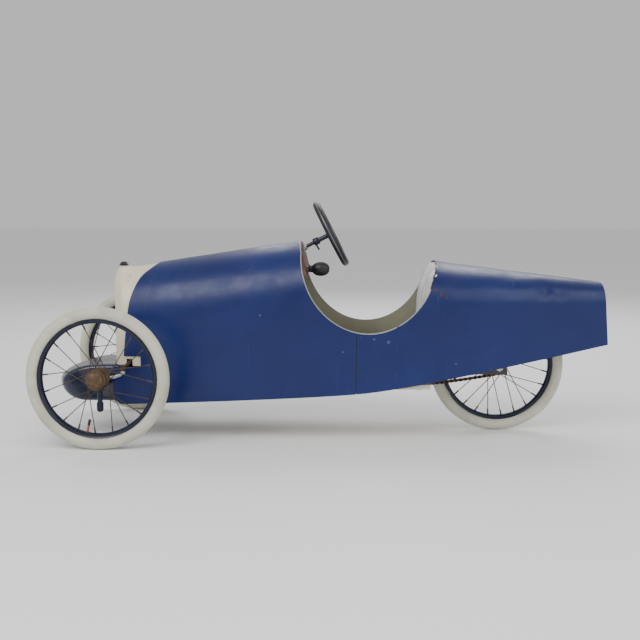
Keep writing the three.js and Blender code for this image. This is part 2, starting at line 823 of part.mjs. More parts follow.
function seatBackPad() {
  const profile = [
    [806, 257],
    [812, 313],
    [815, 356],
    [820, 385],
    [829, 412],
    [840, 441],
    [848, 463],
    [853, 464],
    [852, 448],
    [838, 404],
    [832, 356],
    [824, 257],
  ];
  const crown = loft(
    steps(-150, 150, 12).map((y) => {
      const top = 467 - 46 * (Math.abs(y) / 150) ** 2.6;
      return [
        [700, y, 240],
        [900, y, 240],
        [900, y, top],
        [700, y, top],
      ];
    }),
  );
  const deck = bodyLoft(810, 900, 6, -4, 0)
    .subtract(bodyLoft(800, 910, 6, SHEET + 3, 20))
    .subtract(cockpitCut(-2));
  const pieces = join(plate(profile, -143, 143)).intersect(solidOf(crown)).subtract(deck).decompose();
  return pieces.sort((one, other) => other.volume() - one.volume())[0];
}

function seatBackBoard() {
  const outline = [
    [825, SEAT.z - 8],
    [834, 356],
    [840, 404],
    [848, 404],
    [842, 356],
    [833, SEAT.z - 8],
  ];
  return join(plate(outline, -128, 128));
}

const FINISH = {
  blue: { color: 0x203569, roughness: 0.4, metalness: 0 },
  cream: { color: 0xe1d7be, roughness: 0.5, metalness: 0 },
  navy: { color: 0x1e2646, roughness: 0.35, metalness: 0 },
  dark: { color: 0x2e3038, roughness: 0.55, metalness: 0.1 },
  tyre: { color: 0xc8c8b9, roughness: 0.9, metalness: 0 },
  rust: { color: 0x644b2d, roughness: 0.85, metalness: 0.4 },
  steel: { color: 0x9a9a98, roughness: 0.35, metalness: 0.9 },
  brass: { color: 0xa98a45, roughness: 0.35, metalness: 0.9 },
  wood: { color: 0x6b3a22, roughness: 0.6, metalness: 0 },
  rubber: { color: 0x26262a, roughness: 0.8, metalness: 0 },
  cloth: { color: 0xc8c8c8, roughness: 0.9, metalness: 0 },
};

const car = new THREE.Group();
car.position.x = (WHEEL_R - TAIL_X) / 2;

function add(name, solid, finish) {
  const mesh = new THREE.Mesh(geometryOf(solid), new THREE.MeshStandardMaterial(FINISH[finish]));
  mesh.name = name;
  car.add(mesh);
}

const SIDES = [
  ["left", -1],
  ["right", 1],
];

add("front_body_shell", frontBodyShell(), "blue");
add("rear_body_shell", rearBodyShell(), "blue");
add("tail_panel", tailPanel(), "blue");
add("nose_fairing", noseFairing(), "blue");
add("radiator_cowl", radiatorCowl(), "cream");
add("grille_panel", grillePanel(), "dark");
add("radiator_cap", radiatorCap(), "rubber");
add("cowl_stud", cowlStud(), "rubber");
add("dashboard", dashboard(), "wood");
add("column_bushing", columnBushing(), "steel");
add("horn_neck", hornNeck(), "dark");
add("horn_trumpet", hornTrumpet(), "brass");
add("horn_bulb", hornBulb(), "rubber");
add("floor_board", floorBoard(), "cream");
add("seat_board", seatBoard(), "wood");
add("seat_cushion", seatCushion(), "cloth");
add("seat_back_board", seatBackBoard(), "wood");
add("seat_back_pad", seatBackPad(), "cloth");
add("backbone_tube", backboneTube(), "dark");
add("front_axle_beam", frontAxleBeam(), "navy");
add("column_support", columnSupport(), "dark");
add("bottom_bracket", bottomBracket(), "dark");
add("rear_fork", rearFork(), "dark");
add("rear_axle", rearAxle(), "steel");
add("steering_wheel", steeringWheel(), "rubber");
add("steering_column", steeringColumn(), "navy");
add("column_clamp", columnClamp(), "navy");
add("drop_arm", dropArm(), "dark");
add("tie_rod", tieRod(), "rust");
add("crankset", crankset(), "dark");
add("chainwheel", chainwheel(), "rust");
add("chain_upper_run", chainRun(true), "rust");
add("chain_lower_run", chainRun(false), "rust");
add("rear_sprocket", rearSprocket(), "rust");

for (const [name, side] of SIDES) {
  const y = side * HALF_TRACK;
  add(`dash_bolt_${name}`, dashBolt(side), "rust");
  add(`seat_riser_${name}`, seatRiser(side), "wood");
  add(`${name}_kingpin`, kingpin(side), "navy");
  add(`${name}_knuckle`, knuckle(side), "steel");
  add(`${name}_pedal`, pedal(side), "rubber");
  add(`${name}_tyre`, tyre(0, y, WHEEL_R), "tyre");
  add(`${name}_rim`, rim(0, y, WHEEL_R), "navy");
  add(`${name}_spoked_hub`, spokedHub(0, y, WHEEL_R, FRONT_HUB), "rust");
  add(`${name}_hub_cap`, hubCap(0, y, WHEEL_R, side), "rust");
  add(`${name}_valve`, valve(0, y, WHEEL_R, FRONT_VALVE), "brass");
}

add("rear_tyre", tyre(WHEELBASE, 0, WHEEL_R), "tyre");
add("rear_rim", rim(WHEELBASE, 0, WHEEL_R), "navy");
add("rear_spoked_hub", spokedHub(WHEELBASE, 0, WHEEL_R, REAR_HUB), "rust");
add("rear_valve", valve(WHEELBASE, 0, WHEEL_R, REAR_VALVE), "brass");

export default car;
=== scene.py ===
"""Dresses the pedal cyclecar: paint, wire wheels, chain, upholstery, floor, lights and camera."""

import json
import logging
import math
import random
from collections.abc import Callable, Sequence
from dataclasses import dataclass
from enum import Enum

import bmesh
import bpy
from mathutils import Euler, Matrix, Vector, noise

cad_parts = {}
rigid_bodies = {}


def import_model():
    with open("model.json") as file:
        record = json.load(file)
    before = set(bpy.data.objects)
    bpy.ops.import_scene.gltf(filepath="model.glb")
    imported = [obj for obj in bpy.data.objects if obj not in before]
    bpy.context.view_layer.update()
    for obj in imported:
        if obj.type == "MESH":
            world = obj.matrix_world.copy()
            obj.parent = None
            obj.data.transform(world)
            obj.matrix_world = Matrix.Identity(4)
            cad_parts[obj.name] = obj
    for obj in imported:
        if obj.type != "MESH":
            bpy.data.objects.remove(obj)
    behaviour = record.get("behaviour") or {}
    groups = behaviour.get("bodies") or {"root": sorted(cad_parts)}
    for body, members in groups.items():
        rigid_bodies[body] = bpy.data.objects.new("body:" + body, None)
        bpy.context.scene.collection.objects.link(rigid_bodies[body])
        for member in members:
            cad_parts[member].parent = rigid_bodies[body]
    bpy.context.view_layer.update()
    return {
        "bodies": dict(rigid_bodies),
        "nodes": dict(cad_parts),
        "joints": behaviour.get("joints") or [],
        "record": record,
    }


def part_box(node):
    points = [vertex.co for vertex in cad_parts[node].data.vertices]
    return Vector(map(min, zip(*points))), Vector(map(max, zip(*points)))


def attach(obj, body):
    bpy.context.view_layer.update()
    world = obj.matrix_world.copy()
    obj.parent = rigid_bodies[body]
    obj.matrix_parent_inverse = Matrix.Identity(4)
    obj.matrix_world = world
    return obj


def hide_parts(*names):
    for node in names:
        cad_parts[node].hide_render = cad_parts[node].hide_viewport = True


LOG = logging.getLogger("pedal_cyclecar")
Point = tuple[float, float, float]
MM = 0.001
MERGE = 1e-6  # metres
WIDE = 220.0  # millimetres, farther out than any panel
UP = Vector((0, 0, 1))
ACROSS = Vector((0, 1, 0))
ALONG = Vector((1, 0, 0))
LEVEL = Euler((0, 0, 0))


class Body(str, Enum):
    """The rigid bodies that pieces ride on."""

    CAR = "car"
    STEERING = "steering"
    CRANKSET = "crankset"
    REAR_WHEEL = "rear_wheel"


class Scatter(str, Enum):
    """Names of the shared shader node groups."""

    BLOTCH = "blotch_mask"
    SCRATCH = "scratch_mask"
    GRAIN = "grain_normal"
    SPOT = "spot_mask"


# ---------------------------------------------------------------------------
# Shader node groups
# ---------------------------------------------------------------------------


def feed(tree: bpy.types.NodeTree, socket: bpy.types.NodeSocket, value: object) -> None:
    """Links a socket into an input, or sets the input's own value.

    Args:
        tree: The tree that both are in.
        socket: The input.
        value: A socket, a number, a vector, or three parts of a colour.
    """
    if isinstance(value, bpy.types.NodeSocket):
        tree.links.new(value, socket)
    elif socket.type == "RGBA":
        socket.default_value = (*value, 1.0)
    else:
        socket.default_value = value


class NodeDesk:
    """A shader node tree with a short way to add nodes that are already joined."""

    tree: bpy.types.NodeTree

    def add(self, kind: str, *feeds: object, operation: str = "",
            **named: object) -> bpy.types.Node:
        """Adds a node and fills its inputs.

        Args:
            kind: The node's type, without its ShaderNode prefix.
            feeds: Values or sockets for its first inputs, in order.
            operation: What a maths node does.
            named: Values or sockets by input name, with underscores for spaces.

        Returns:
            The new node.
        """
        node = self.tree.nodes.new(f"ShaderNode{kind}")
        if operation:
            node.operation = operation
        for socket, value in zip(node.inputs, feeds):
            feed(self.tree, socket, value)
        for label, value in named.items():
            feed(self.tree, node.inputs[label.replace("_", " ")], value)
        return node


class GroupDesk(NodeDesk):
    """One shared shader group with named inputs and a single output."""

    def __init__(self, name: Scatter, output: str, **inputs: float | None) -> None:
        """Starts a group.

        Args:
            name: The group's name.
            output: The output's name; Normal is a vector and any other is a number.
            inputs: Default of each number input by name; None makes a vector input.
        """
        self.tree = bpy.data.node_groups.new(name.value, "ShaderNodeTree")
        sockets = self.tree.interface
        for label, default in inputs.items():
            if default is None:
                sockets.new_socket(label, in_out="INPUT", socket_type="NodeSocketVector")
            else:
                number = sockets.new_socket(label, in_out="INPUT", socket_type="NodeSocketFloat")
                number.default_value = default
        kind = "NodeSocketVector" if output == "Normal" else "NodeSocketFloat"
        sockets.new_socket(output, in_out="OUTPUT", socket_type=kind)
        self.given = self.tree.nodes.new("NodeGroupInput").outputs
        self.sink = self.tree.nodes.new("NodeGroupOutput").inputs[output]

    def smooth_step(self, value: object, low: object, high: object) -> bpy.types.NodeSocket:
        """Rises smoothly from 0 to 1 between two levels of a value.

        Args:
            value: The value or its socket.
            low: Level where the result starts to rise.
            high: Level where it reaches 1.

        Returns:
            The result socket.
        """
        ramp = self.add("MapRange", Value=value, From_Min=low, From_Max=high)
        ramp.interpolation_type = "SMOOTHSTEP"
        return ramp.outputs["Result"]


def blotch_group() -> None:
    """Builds the soft patchy mask used for fading, dirt and rust, and for the painted shade in the
    cloth's creases.
    """
    desk = GroupDesk(Scatter.BLOTCH, "Mask", Vector=None, Scale=8.0, Low=0.45, High=0.65)
    given = desk.given
    cloud = desk.add("TexNoise", Vector=given["Vector"], Scale=given["Scale"], Detail=7.0,
                     Roughness=0.62)
    mask = desk.smooth_step(cloud.outputs["Fac"], given["Low"], given["High"])
    desk.tree.links.new(mask, desk.sink)


def spot_group() -> None:
    """Builds the ragged mask of one worn spot; the sheet's own depth counts for little."""
    desk = GroupDesk(Scatter.SPOT, "Mask", Vector=None, Spot=None, Reach=0.01, Scale=120.0,
                     Edge=0.5)
    given = desk.given
    apart = desk.add("VectorMath", given["Vector"], given["Spot"], operation="SUBTRACT")
    shallow = desk.add("VectorMath", apart.outputs["Vector"], (1.0, 0.12, 1.0),
                       operation="MULTIPLY")
    gap = desk.add("VectorMath", shallow.outputs["Vector"], operation="LENGTH")
    near = desk.add("MapRange", Value=gap.outputs["Value"], From_Min=0.0,
                    From_Max=given["Reach"], To_Min=1.0, To_Max=0.0)
    ragged = desk.add("TexNoise", Vector=given["Vector"], Scale=given["Scale"], Detail=4.0)
    both = desk.add("Math", near.outputs["Result"], ragged.outputs["Fac"], operation="ADD")
    low = desk.add("Math", given["Edge"], 0.4, operation="ADD")
    mask = desk.smooth_step(both.outputs["Value"], low.outputs["Value"], 1.15)
    within = desk.add("Math", near.outputs["Result"], 0.02, operation="GREATER_THAN")
    kept = desk.add("Math", mask, within.outputs["Value"], operation="MULTIPLY")
    desk.tree.links.new(kept.outputs["Value"], desk.sink)


def scratch_group() -> None:
    """Builds the sparse thin-line mask used for scuffs and scratches."""
    desk = GroupDesk(Scatter.SCRATCH, "Mask", Vector=None, Scale=6.0, Width=0.006, Patches=0.58)
    given = desk.given
    stretch = desk.add("Mapping", Vector=given["Vector"], Rotation=(0.3, 0.75, 0.2),
                       Scale=(1.0, 1.0, 0.16))
    cells = desk.add("TexVoronoi", Vector=stretch.outputs["Vector"])
    cells.feature = "DISTANCE_TO_EDGE"
    feed(desk.tree, cells.inputs["Scale"], given["Scale"])
    line = desk.add("Math", cells.outputs["Distance"], given["Width"], operation="LESS_THAN")
    patch = desk.add("TexNoise", Vector=given["Vector"], Scale=9.0)
    keep = desk.add("Math", patch.outputs["Fac"], given["Patches"], operation="GREATER_THAN")
    both = desk.add("Math", line.outputs["Value"], keep.outputs["Value"], operation="MULTIPLY")
    desk.tree.links.new(both.outputs["Value"], desk.sink)


def grain_group() -> None:
    """Builds the fine bump that gives cast, painted and rusted surfaces their tooth."""
    desk = GroupDesk(Scatter.GRAIN, "Normal", Vector=None, Scale=300.0, Strength=0.2, Height=0.0)
    given = desk.given
    speckle = desk.add("TexNoise", Vector=given["Vector"], Scale=given["Scale"], Detail=4.0)
    total = desk.add("Math", speckle.outputs["Fac"], given["Height"], operation="ADD")
    bump = desk.add("Bump", Height=total.outputs["Value"], Strength=given["Strength"],
                    Distance=0.0006)
    desk.tree.links.new(bump.outputs["Normal"], desk.sink)


def finish_name(name: str) -> str:
    """Returns the material name of a finish, kept apart from the frame's own slots."""
    return f"{name}_finish"


class ShaderDesk(NodeDesk):
    """One material's node tree, built from object coordinates to a Principled BSDF."""

    def __init__(self, name: str) -> None:
        """Starts the material.

        Args:
            name: The finish's name.
        """
        self.material = bpy.data.materials.new(finish_name(name))
        self.material.use_nodes = True
        self.tree = self.material.node_tree
        self.bsdf = self.tree.nodes["Principled BSDF"]
        self.coords = self.add("TexCoord").outputs["Object"]

    def group(self, name: Scatter, **values: object) -> bpy.types.NodeSocket:
        """Places a shared group on the object coordinates.

        Args:
            name: Which group.
            values: Input values or sockets by socket name.

        Returns:
            The group's output socket.
        """
        node = self.tree.nodes.new("ShaderNodeGroup")
        node.node_tree = bpy.data.node_groups[name.value]
        for label, value in {"Vector": self.coords, **values}.items():
            feed(self.tree, node.inputs[label], value)
        return node.outputs[0]

    def stretched(self, scale: Point) -> bpy.types.NodeSocket:
        """Returns the object coordinates scaled on each axis."""
        return self.add("Mapping", Vector=self.coords, Scale=scale).outputs["Vector"]

    def mix(self, mask: bpy.types.NodeSocket, low: object, high: object) -> bpy.types.NodeSocket:
        """Mixes two colours by a mask.

        Args:
            mask: The factor socket.
            low: Colour or socket where the mask is 0.
            high: Colour or socket where the mask is 1.

        Returns:
            The mixed colour's socket.
        """
        node = self.add("Mix", mask)
        node.data_type = "RGBA"
        colours = [socket for socket in node.inputs if socket.type == "RGBA"]
        for socket, value in zip(colours, (low, high)):
            feed(self.tree, socket, value)
        return [socket for socket in node.outputs if socket.type == "RGBA"][0]

    def spread(self, mask: bpy.types.NodeSocket, low: float, high: float) -> bpy.types.NodeSocket:
        """Maps a 0 to 1 mask onto a range of values."""
        return self.add("MapRange", Value=mask, To_Min=low, To_Max=high).outputs["Result"]

    def set(self, **values: object) -> None:
        """Fills the Principled inputs; underscores stand for spaces in a socket's name."""
        for label, value in values.items():
            feed(self.tree, self.bsdf.inputs[label.replace("_", " ")], value)


# ---------------------------------------------------------------------------
# Finishes
# ---------------------------------------------------------------------------


@dataclass(frozen=True)
class Paint:
    """Old sprayed enamel: faded patches, fine scratches, chips and worn or rusted spots.

    The spots are (place, reach) pairs in millimetres from the front axle and the floor.
    """

    name: str
    slot: str
    colour: Point
    faded: Point
    under: Point
    roughness: float = 0.36
    coat: float = 0.3
    chips: float = 0.66
    scratch: float = 0.003
    shine: float = 0.5
    rust: tuple[tuple[Point, float], ...] = ()
    scuffs: tuple[tuple[Point, float], ...] = ()
    rust_colour: Point = (0.06, 0.022, 0.012)
    scuff_colour: Point = (0.2, 0.23, 0.3)

    def build(self) -> bpy.types.Material:
        """Makes the material.

        Returns:
            The material.
        """
        desk = ShaderDesk(self.name)
        fade = desk.group(Scatter.BLOTCH, Scale=4.0, Low=0.35, High=0.75)
        coat = desk.mix(fade, self.colour, self.faded)
        lines = desk.group(Scatter.SCRATCH, Scale=7.0, Width=self.scratch, Patches=0.6)
        scuffed = desk.mix(desk.spread(lines, 0.0, 0.3), coat, self.under)
        for spot, reach in self.scuffs:
            mark = desk.group(Scatter.SPOT, Reach=reach * MM, Edge=0.56, Scale=190.0,
                              Spot=Datum.at(*spot))
            scuffed = desk.mix(desk.spread(mark, 0.0, 0.32), scuffed, self.scuff_colour)
        for spot, reach in self.rust:
            mark = desk.group(Scatter.SPOT, Reach=reach * MM, Edge=0.36, Scale=130.0,
                              Spot=Datum.at(*spot))
            scuffed = desk.mix(mark, scuffed, self.rust_colour)
        chipped = desk.group(Scatter.BLOTCH, Scale=46.0, Low=self.chips, High=self.chips + 0.03)
        desk.set(
            Base_Color=desk.mix(chipped, scuffed, self.under),
            Roughness=desk.spread(
                desk.group(Scatter.BLOTCH, Scale=19.0, Low=0.3, High=0.7),
                self.roughness - 0.06,
                self.roughness + 0.12,
            ),
            Specular_IOR_Level=self.shine,
            Coat_Weight=self.coat,
            Coat_Roughness=0.18,
            Normal=desk.group(Scatter.GRAIN, Scale=160.0, Strength=0.10),
        )
        return desk.material


@dataclass(frozen=True)
class Metal:
    """Bare or rusted metal with a patchy second colour."""

    name: str
    slot: str
    colour: Point
    second: Point
    metallic: float
    roughness: float
    cover: float = 0.5
    grain: float = 0.35

    def build(self) -> bpy.types.Material:
        """Makes the material.

        Returns:
            The material.
        """
        desk = ShaderDesk(self.name)
        patches = desk.group(
            Scatter.BLOTCH, Scale=70.0, Low=self.cover - 0.12, High=self.cover + 0.12
        )
        desk.set(
            Base_Color=desk.mix(patches, self.colour, self.second),
            Roughness=desk.spread(patches, self.roughness, min(1.0, self.roughness + 0.25)),
            Metallic=desk.spread(patches, self.metallic, self.metallic * 0.35),
            Normal=desk.group(Scatter.GRAIN, Scale=900.0, Strength=self.grain),
        )
        return desk.material


@dataclass(frozen=True)
class Rubber:
    """Tyre, bulb and grip rubber with dust and slight yellowing."""

    name: str
    slot: str
    colour: Point
    dusty: Point
    roughness: float
    grain: float = 0.3

    def build(self) -> bpy.types.Material:
        """Makes the material.

        Returns:
            The material.
        """
        desk = ShaderDesk(self.name)
        dust = desk.group(Scatter.BLOTCH, Scale=11.0, Low=0.38, High=0.72)
        specks = desk.group(Scatter.BLOTCH, Scale=120.0, Low=0.62, High=0.72)
        dusted = desk.mix(dust, self.colour, self.dusty)
        dark = tuple(0.55 * c for c in self.colour)
        desk.set(
            Base_Color=desk.mix(desk.spread(specks, 0.0, 0.5), dusted, dark),
            Roughness=desk.spread(dust, self.roughness - 0.08, self.roughness + 0.08),
            Normal=desk.group(Scatter.GRAIN, Scale=500.0, Strength=self.grain),
        )
        return desk.material


@dataclass(frozen=True)
class Wood:
    """Varnished or painted board with grain along the car."""

    name: str
    slot: str
    colour: Point
    grain_colour: Point
    stretch: Point = (3.0, 40.0, 40.0)
    roughness: float = 0.45

    def build(self) -> bpy.types.Material:
        """Makes the material.

        Returns:
            The material.
        """
        desk = ShaderDesk(self.name)
        streaks = desk.add("TexNoise", Vector=desk.stretched(self.stretch), Scale=4.0, Detail=8.0,
                           Distortion=0.6).outputs["Fac"]
        desk.set(
            Base_Color=desk.mix(streaks, self.colour, self.grain_colour),
            Roughness=desk.spread(streaks, self.roughness, self.roughness + 0.2),
            Normal=desk.group(Scatter.GRAIN, Scale=220.0, Strength=0.25, Height=streaks),
        )
        return desk.material


@dataclass(frozen=True)
class Cloth:
    """Coated upholstery cloth with a fine weave, soiling and painted shade in upright creases."""

    name: str
    slot: str
    colour: Point
    soiled: Point
    # colour of the painted shade in the cover's creases
    crease_shade: Point = (0.17, 0.17, 0.18)
    wave_scale: float = 500.0

    def build(self) -> bpy.types.Material:
        """Makes the material.

        Returns:
            The material.
        """
        desk = ShaderDesk(self.name)
        soil = desk.group(Scatter.BLOTCH, Scale=14.0, Low=0.4, High=0.75)
        waves = []
        for axis in ("X", "Z"):
            wave = desk.add("TexWave", Vector=desk.coords, Scale=self.wave_scale, Distortion=0.5)
            wave.bands_direction = axis
            waves.append(wave.outputs["Fac"])
        weave = desk.add("Math", *waves, operation="MULTIPLY")
        # painted shade: darker upright streaks stand in for the shade in the cover's creases
        crease_shade_mask = desk.group(Scatter.BLOTCH, Scale=1.0, Low=0.42, High=0.56,
                           Vector=desk.stretched((9.0, 95.0, 9.0)))
        clean = desk.mix(soil, self.colour, self.soiled)
        desk.set(
            Base_Color=desk.mix(desk.spread(crease_shade_mask, 0.0, 0.38), clean, self.crease_shade),
            Roughness=desk.spread(soil, 0.55, 0.8),
            Sheen_Weight=0.15,
            Normal=desk.group(Scatter.GRAIN, Scale=90.0, Strength=0.4, Height=weave.outputs[0]),
        )
        return desk.material


FINISHES = (
    Paint("blue_paint", "blue_paint", (0.002, 0.011, 0.086), (0.004, 0.017, 0.12),
          (0.10, 0.11, 0.15), chips=0.72, coat=0.08, shine=0.34,
          rust=(((838, -122, 391), 9), ((852, -125, 380), 11), ((866, -126, 372), 7),
                ((846, -130, 366), 6), ((960, -112, 388), 5)),
          scuffs=(((891, -127, 203), 9), ((897, -127, 199), 6), ((648, -142, 269), 7),
                  ((684, -142, 266), 8), ((719, -141, 259), 10), ((646, -142, 212), 5),
                  ((605, -146, 233), 6), ((394, -150, 326), 6))),
    Paint("cream_paint", "cream_paint", (0.74, 0.67, 0.5), (0.66, 0.6, 0.45),
          (0.2, 0.12, 0.06), roughness=0.42, chips=0.68),
    Paint("navy_enamel", "navy_enamel", (0.003, 0.005, 0.02), (0.004, 0.008, 0.03),
          (0.08, 0.06, 0.05), roughness=0.3, coat=0.15, chips=0.71, shine=0.35),
    Paint("dark_paint", "dark_paint", (0.02, 0.022, 0.022), (0.035, 0.036, 0.03),
          (0.14, 0.08, 0.045), roughness=0.4, chips=0.62),
    Metal("rusted_steel", "rusted_steel", (0.065, 0.05, 0.036), (0.1, 0.05, 0.026), 0.6, 0.5),
    Metal("bare_steel", "bare_steel", (0.52, 0.51, 0.49), (0.25, 0.2, 0.16), 1.0, 0.3, 0.62),
    Metal("brass", "brass", (0.42, 0.16, 0.05), (0.16, 0.06, 0.025), 1.0, 0.36, 0.6),
    Rubber("tyre_rubber", "tyre", (0.56, 0.56, 0.46), (0.44, 0.43, 0.34), 0.8),
    Rubber("black_rubber", "black_rubber", (0.006, 0.006, 0.008), (0.014, 0.014, 0.015), 0.5, 0.15),
    Wood("board_wood", "wood", (0.085, 0.02, 0.009), (0.035, 0.01, 0.005)),
    Wood("cream_wood", "cream_wood", (0.62, 0.58, 0.44), (0.5, 0.46, 0.34), roughness=0.55),
    Cloth("upholstery", "upholstery", (0.80, 0.80, 0.79), (0.52, 0.51, 0.49)),
    Paint("worn_hem", "blue_paint", (0.24, 0.25, 0.24), (0.42, 0.42, 0.4),
          (0.05, 0.06, 0.09), chips=0.64),
    Paint("lining", "blue_paint", (0.29, 0.28, 0.2), (0.18, 0.18, 0.125),
          (0.12, 0.08, 0.05), roughness=0.6, coat=0.0, chips=0.68),
    Paint("fairing_paint", "blue_paint", (0.002, 0.006, 0.03), (0.003, 0.008, 0.04),
          (0.1, 0.1, 0.1), roughness=0.2, coat=0.5, chips=0.72),
    Paint("line_paint", "black_rubber", (0.12, 0.14, 0.18), (0.1, 0.11, 0.14),
          (0.05, 0.05, 0.05)),
    Metal("cap_rust", "rusted_steel", (0.12, 0.078, 0.04), (0.07, 0.036, 0.02), 0.5, 0.45),
    Metal("spoke_steel", "rusted_steel", (0.05, 0.04, 0.032), (0.075, 0.045, 0.026), 0.5, 0.5),
    Metal("chain_steel", "rusted_steel", (0.06, 0.045, 0.035), (0.11, 0.06, 0.03), 0.6, 0.5),
)


def dress(piece: bpy.types.Object, finish: str) -> bpy.types.Object:
    """Gives a piece one finish on all its faces.

    Args:
        piece: The piece.
        finish: The finish's name.

    Returns:
        The same piece.
    """
    piece.data.materials.clear()
    piece.data.materials.append(bpy.data.materials[finish_name(finish)])
    return piece


# ---------------------------------------------------------------------------
# Mesh tools. Sizes are millimetres from the front axle and the floor.
# ---------------------------------------------------------------------------


class Datum:
    """Turns millimetres from the front axle and the floor into the frame's metres."""

    axle_x = 0.0

    @classmethod
    def read(cls) -> None:
        """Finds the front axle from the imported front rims."""
        low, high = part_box("left_rim")
        cls.axle_x = (low[0] + high[0]) / 2

    @classmethod
    def origin(cls) -> float:
        """Station of the frame's own origin, where patterns to be repeated are modelled."""
        return -cls.axle_x / MM

    @classmethod
    def at(cls, x: float, y: float, z: float) -> Vector:
        """Places one point of the car."""
        return Vector((cls.axle_x + x * MM, y * MM, z * MM))


def steps(start: float, stop: float, count: int) -> list[float]:
    """Lists count + 1 even values from start to stop."""
    return [start + (stop - start) * i / count for i in range(count + 1)]


def mesh_object(name: str, points: Sequence[Vector], faces: Sequence[Sequence[int]],
                smooth: float = 35.0) -> bpy.types.Object:
    """Makes a mesh object with outward faces, shaded smooth below an angle.

    Args:
        name: The piece's name.
        points: Vertices in the frame's metres.
        faces: Vertex numbers of each face.
        smooth: Edges sharper than this angle in degrees stay sharp.

    Returns:
        The new object, linked to the scene.
    """
    mesh = bpy.data.meshes.new(name)
    mesh.from_pydata([tuple(p) for p in points], [], faces)
    piece = bpy.data.objects.new(name, mesh)
    bpy.context.collection.objects.link(piece)
    tidy(piece, smooth)
    return piece


def tidy(piece: bpy.types.Object, smooth: float = 35.0) -> bpy.types.Object:
    """Merges doubles, turns faces outwards and sets the shading.

    Args:
        piece: The piece.
        smooth: Edges sharper than this angle in degrees stay sharp.

    Returns:
        The same piece.
    """
    work = bmesh.new()
    work.from_mesh(piece.data)
    bmesh.ops.remove_doubles(work, verts=work.verts, dist=MERGE)
    bmesh.ops.dissolve_degenerate(work, edges=work.edges, dist=MERGE / 10)
    bmesh.ops.recalc_face_normals(work, faces=work.faces)
    work.to_mesh(piece.data)
    work.free()
    piece.data.shade_smooth()
    piece.data.set_sharp_from_angle(angle=math.radians(smooth))
    return piece


def baked(piece: bpy.types.Object, smooth: float | None = 35.0) -> bpy.types.Object:
    """Turns a piece with modifiers into a plain mesh.

    Args:
        piece: The piece with live modifiers.
        smooth: Shading angle, or None to keep the normals as they are.

    Returns:
        The same object with its final mesh.
    """
    graph = bpy.context.evaluated_depsgraph_get()
    graph.update()
    mesh = bpy.data.meshes.new_from_object(piece.evaluated_get(graph), depsgraph=graph)
    name = piece.data.name
    old = piece.data
    piece.modifiers.clear()
    piece.data = mesh
    bpy.data.meshes.remove(old)
    mesh.name = name
    if smooth is not None:
        tidy(piece, smooth)
    return piece


def joined(name: str, pieces: Sequence[bpy.types.Object], smooth: float = 35.0) -> bpy.types.Object:
    """Joins finished meshes into one piece and drops the parts.

    Args:
        name: The new piece's name.
        pieces: The meshes to join; each keeps its materials.
        smooth: Shading angle in degrees.

    Returns:
        The joined piece.
    """
    work = bmesh.new()
    materials: list[bpy.types.Material] = []
    for piece in pieces:
        start = len(work.faces)
        work.from_mesh(piece.data)
        work.faces.ensure_lookup_table()
        slots = [m for m in piece.data.materials]
        for m in slots:
            if m not in materials:
                materials.append(m)
        for f in work.faces[start:]:
            if slots:
                f.material_index = materials.index(slots[min(f.material_index, len(slots) - 1)])
        bpy.data.objects.remove(piece)
    mesh = bpy.data.meshes.new(name)
    work.to_mesh(mesh)
    work.free()
    for m in materials:
        mesh.materials.append(m)
    whole = bpy.data.objects.new(name, mesh)
    bpy.context.collection.objects.link(whole)
    mesh.shade_smooth()
    mesh.set_sharp_from_angle(angle=math.radians(smooth))
    return whole


def loft(name: str, rings: Sequence[Sequence[Vector]], smooth: float = 35.0) -> bpy.types.Object:
    """Joins rings of points into one skin and caps both ends.

    Args:
        name: The piece's name.
        rings: Equal-length rings.
        smooth: Shading angle in degrees.

    Returns:
        The lofted piece.
    """
    count = len(rings[0])
    points = [p for ring in rings for p in ring]
    faces: list[list[int]] = []
    for i in range(len(rings) - 1):
        for j in range(count):
            n = (j + 1) % count
            faces.append([i * count + j, (i + 1) * count + j, (i + 1) * count + n, i * count + n])
    faces.append(list(range(count)))
    faces.append([(len(rings) - 1) * count + j for j in reversed(range(count))])
    return mesh_object(name, points, faces, smooth)


def turned(name: str, profile: Sequence[tuple[float, float]], centre: Point, axis: Vector,
           segments: int = 64, smooth: float = 35.0) -> bpy.types.Object:
    """Turns a profile about an axis.

    Args:
        name: The piece's name.
        profile: (radius, distance along the axis) pairs that close on the axis or on themselves.
        centre: The axis point that distances are counted from, in millimetres.
        axis: The axis direction.
        segments: Steps round the turn.
        smooth: Shading angle in degrees.

    Returns:
        The turned piece.
    """
    frame = axis.normalized().to_track_quat("Z", "Y").to_matrix()
    middle = Datum.at(*centre)
    rings = []
    for i in range(segments):
        turn = 2 * math.pi * i / segments
        rings.append([
            middle + frame @ Vector((r * math.cos(turn), r * math.sin(turn), h)) * MM
            for r, h in profile
        ])
    points = [p for ring in rings for p in ring]
    count = len(profile)
    faces = []
    for i in range(segments):
        k = (i + 1) % segments
        for j in range(count - 1):
            faces.append([i * count + j, k * count + j, k * count + j + 1, i * count + j + 1])
    return mesh_object(name, points, faces, smooth)


def rod(name: str, start: Point, stop: Point, radius: float, end_radius: float | None = None,
        chamfer: float = 0.8, segments: int = 28) -> bpy.types.Object:
    """Makes a round bar with chamfered ends.

    Args:
        name: The piece's name.
        start: One end, in millimetres.
        stop: The other end.
        radius: Radius at the start.
        end_radius: Radius at the stop, if it differs.
        chamfer: Size of the broken edges.
        segments: Steps round the bar.

    Returns:
        The bar.
    """
    last = radius if end_radius is None else end_radius
    length = (Vector(stop) - Vector(start)).length
    profile = [(0, 0), (radius - chamfer, 0), (radius, chamfer), (last, length - chamfer),
               (last - chamfer, length), (0, length)]
    return turned(name, profile, start, Vector(stop) - Vector(start), segments)


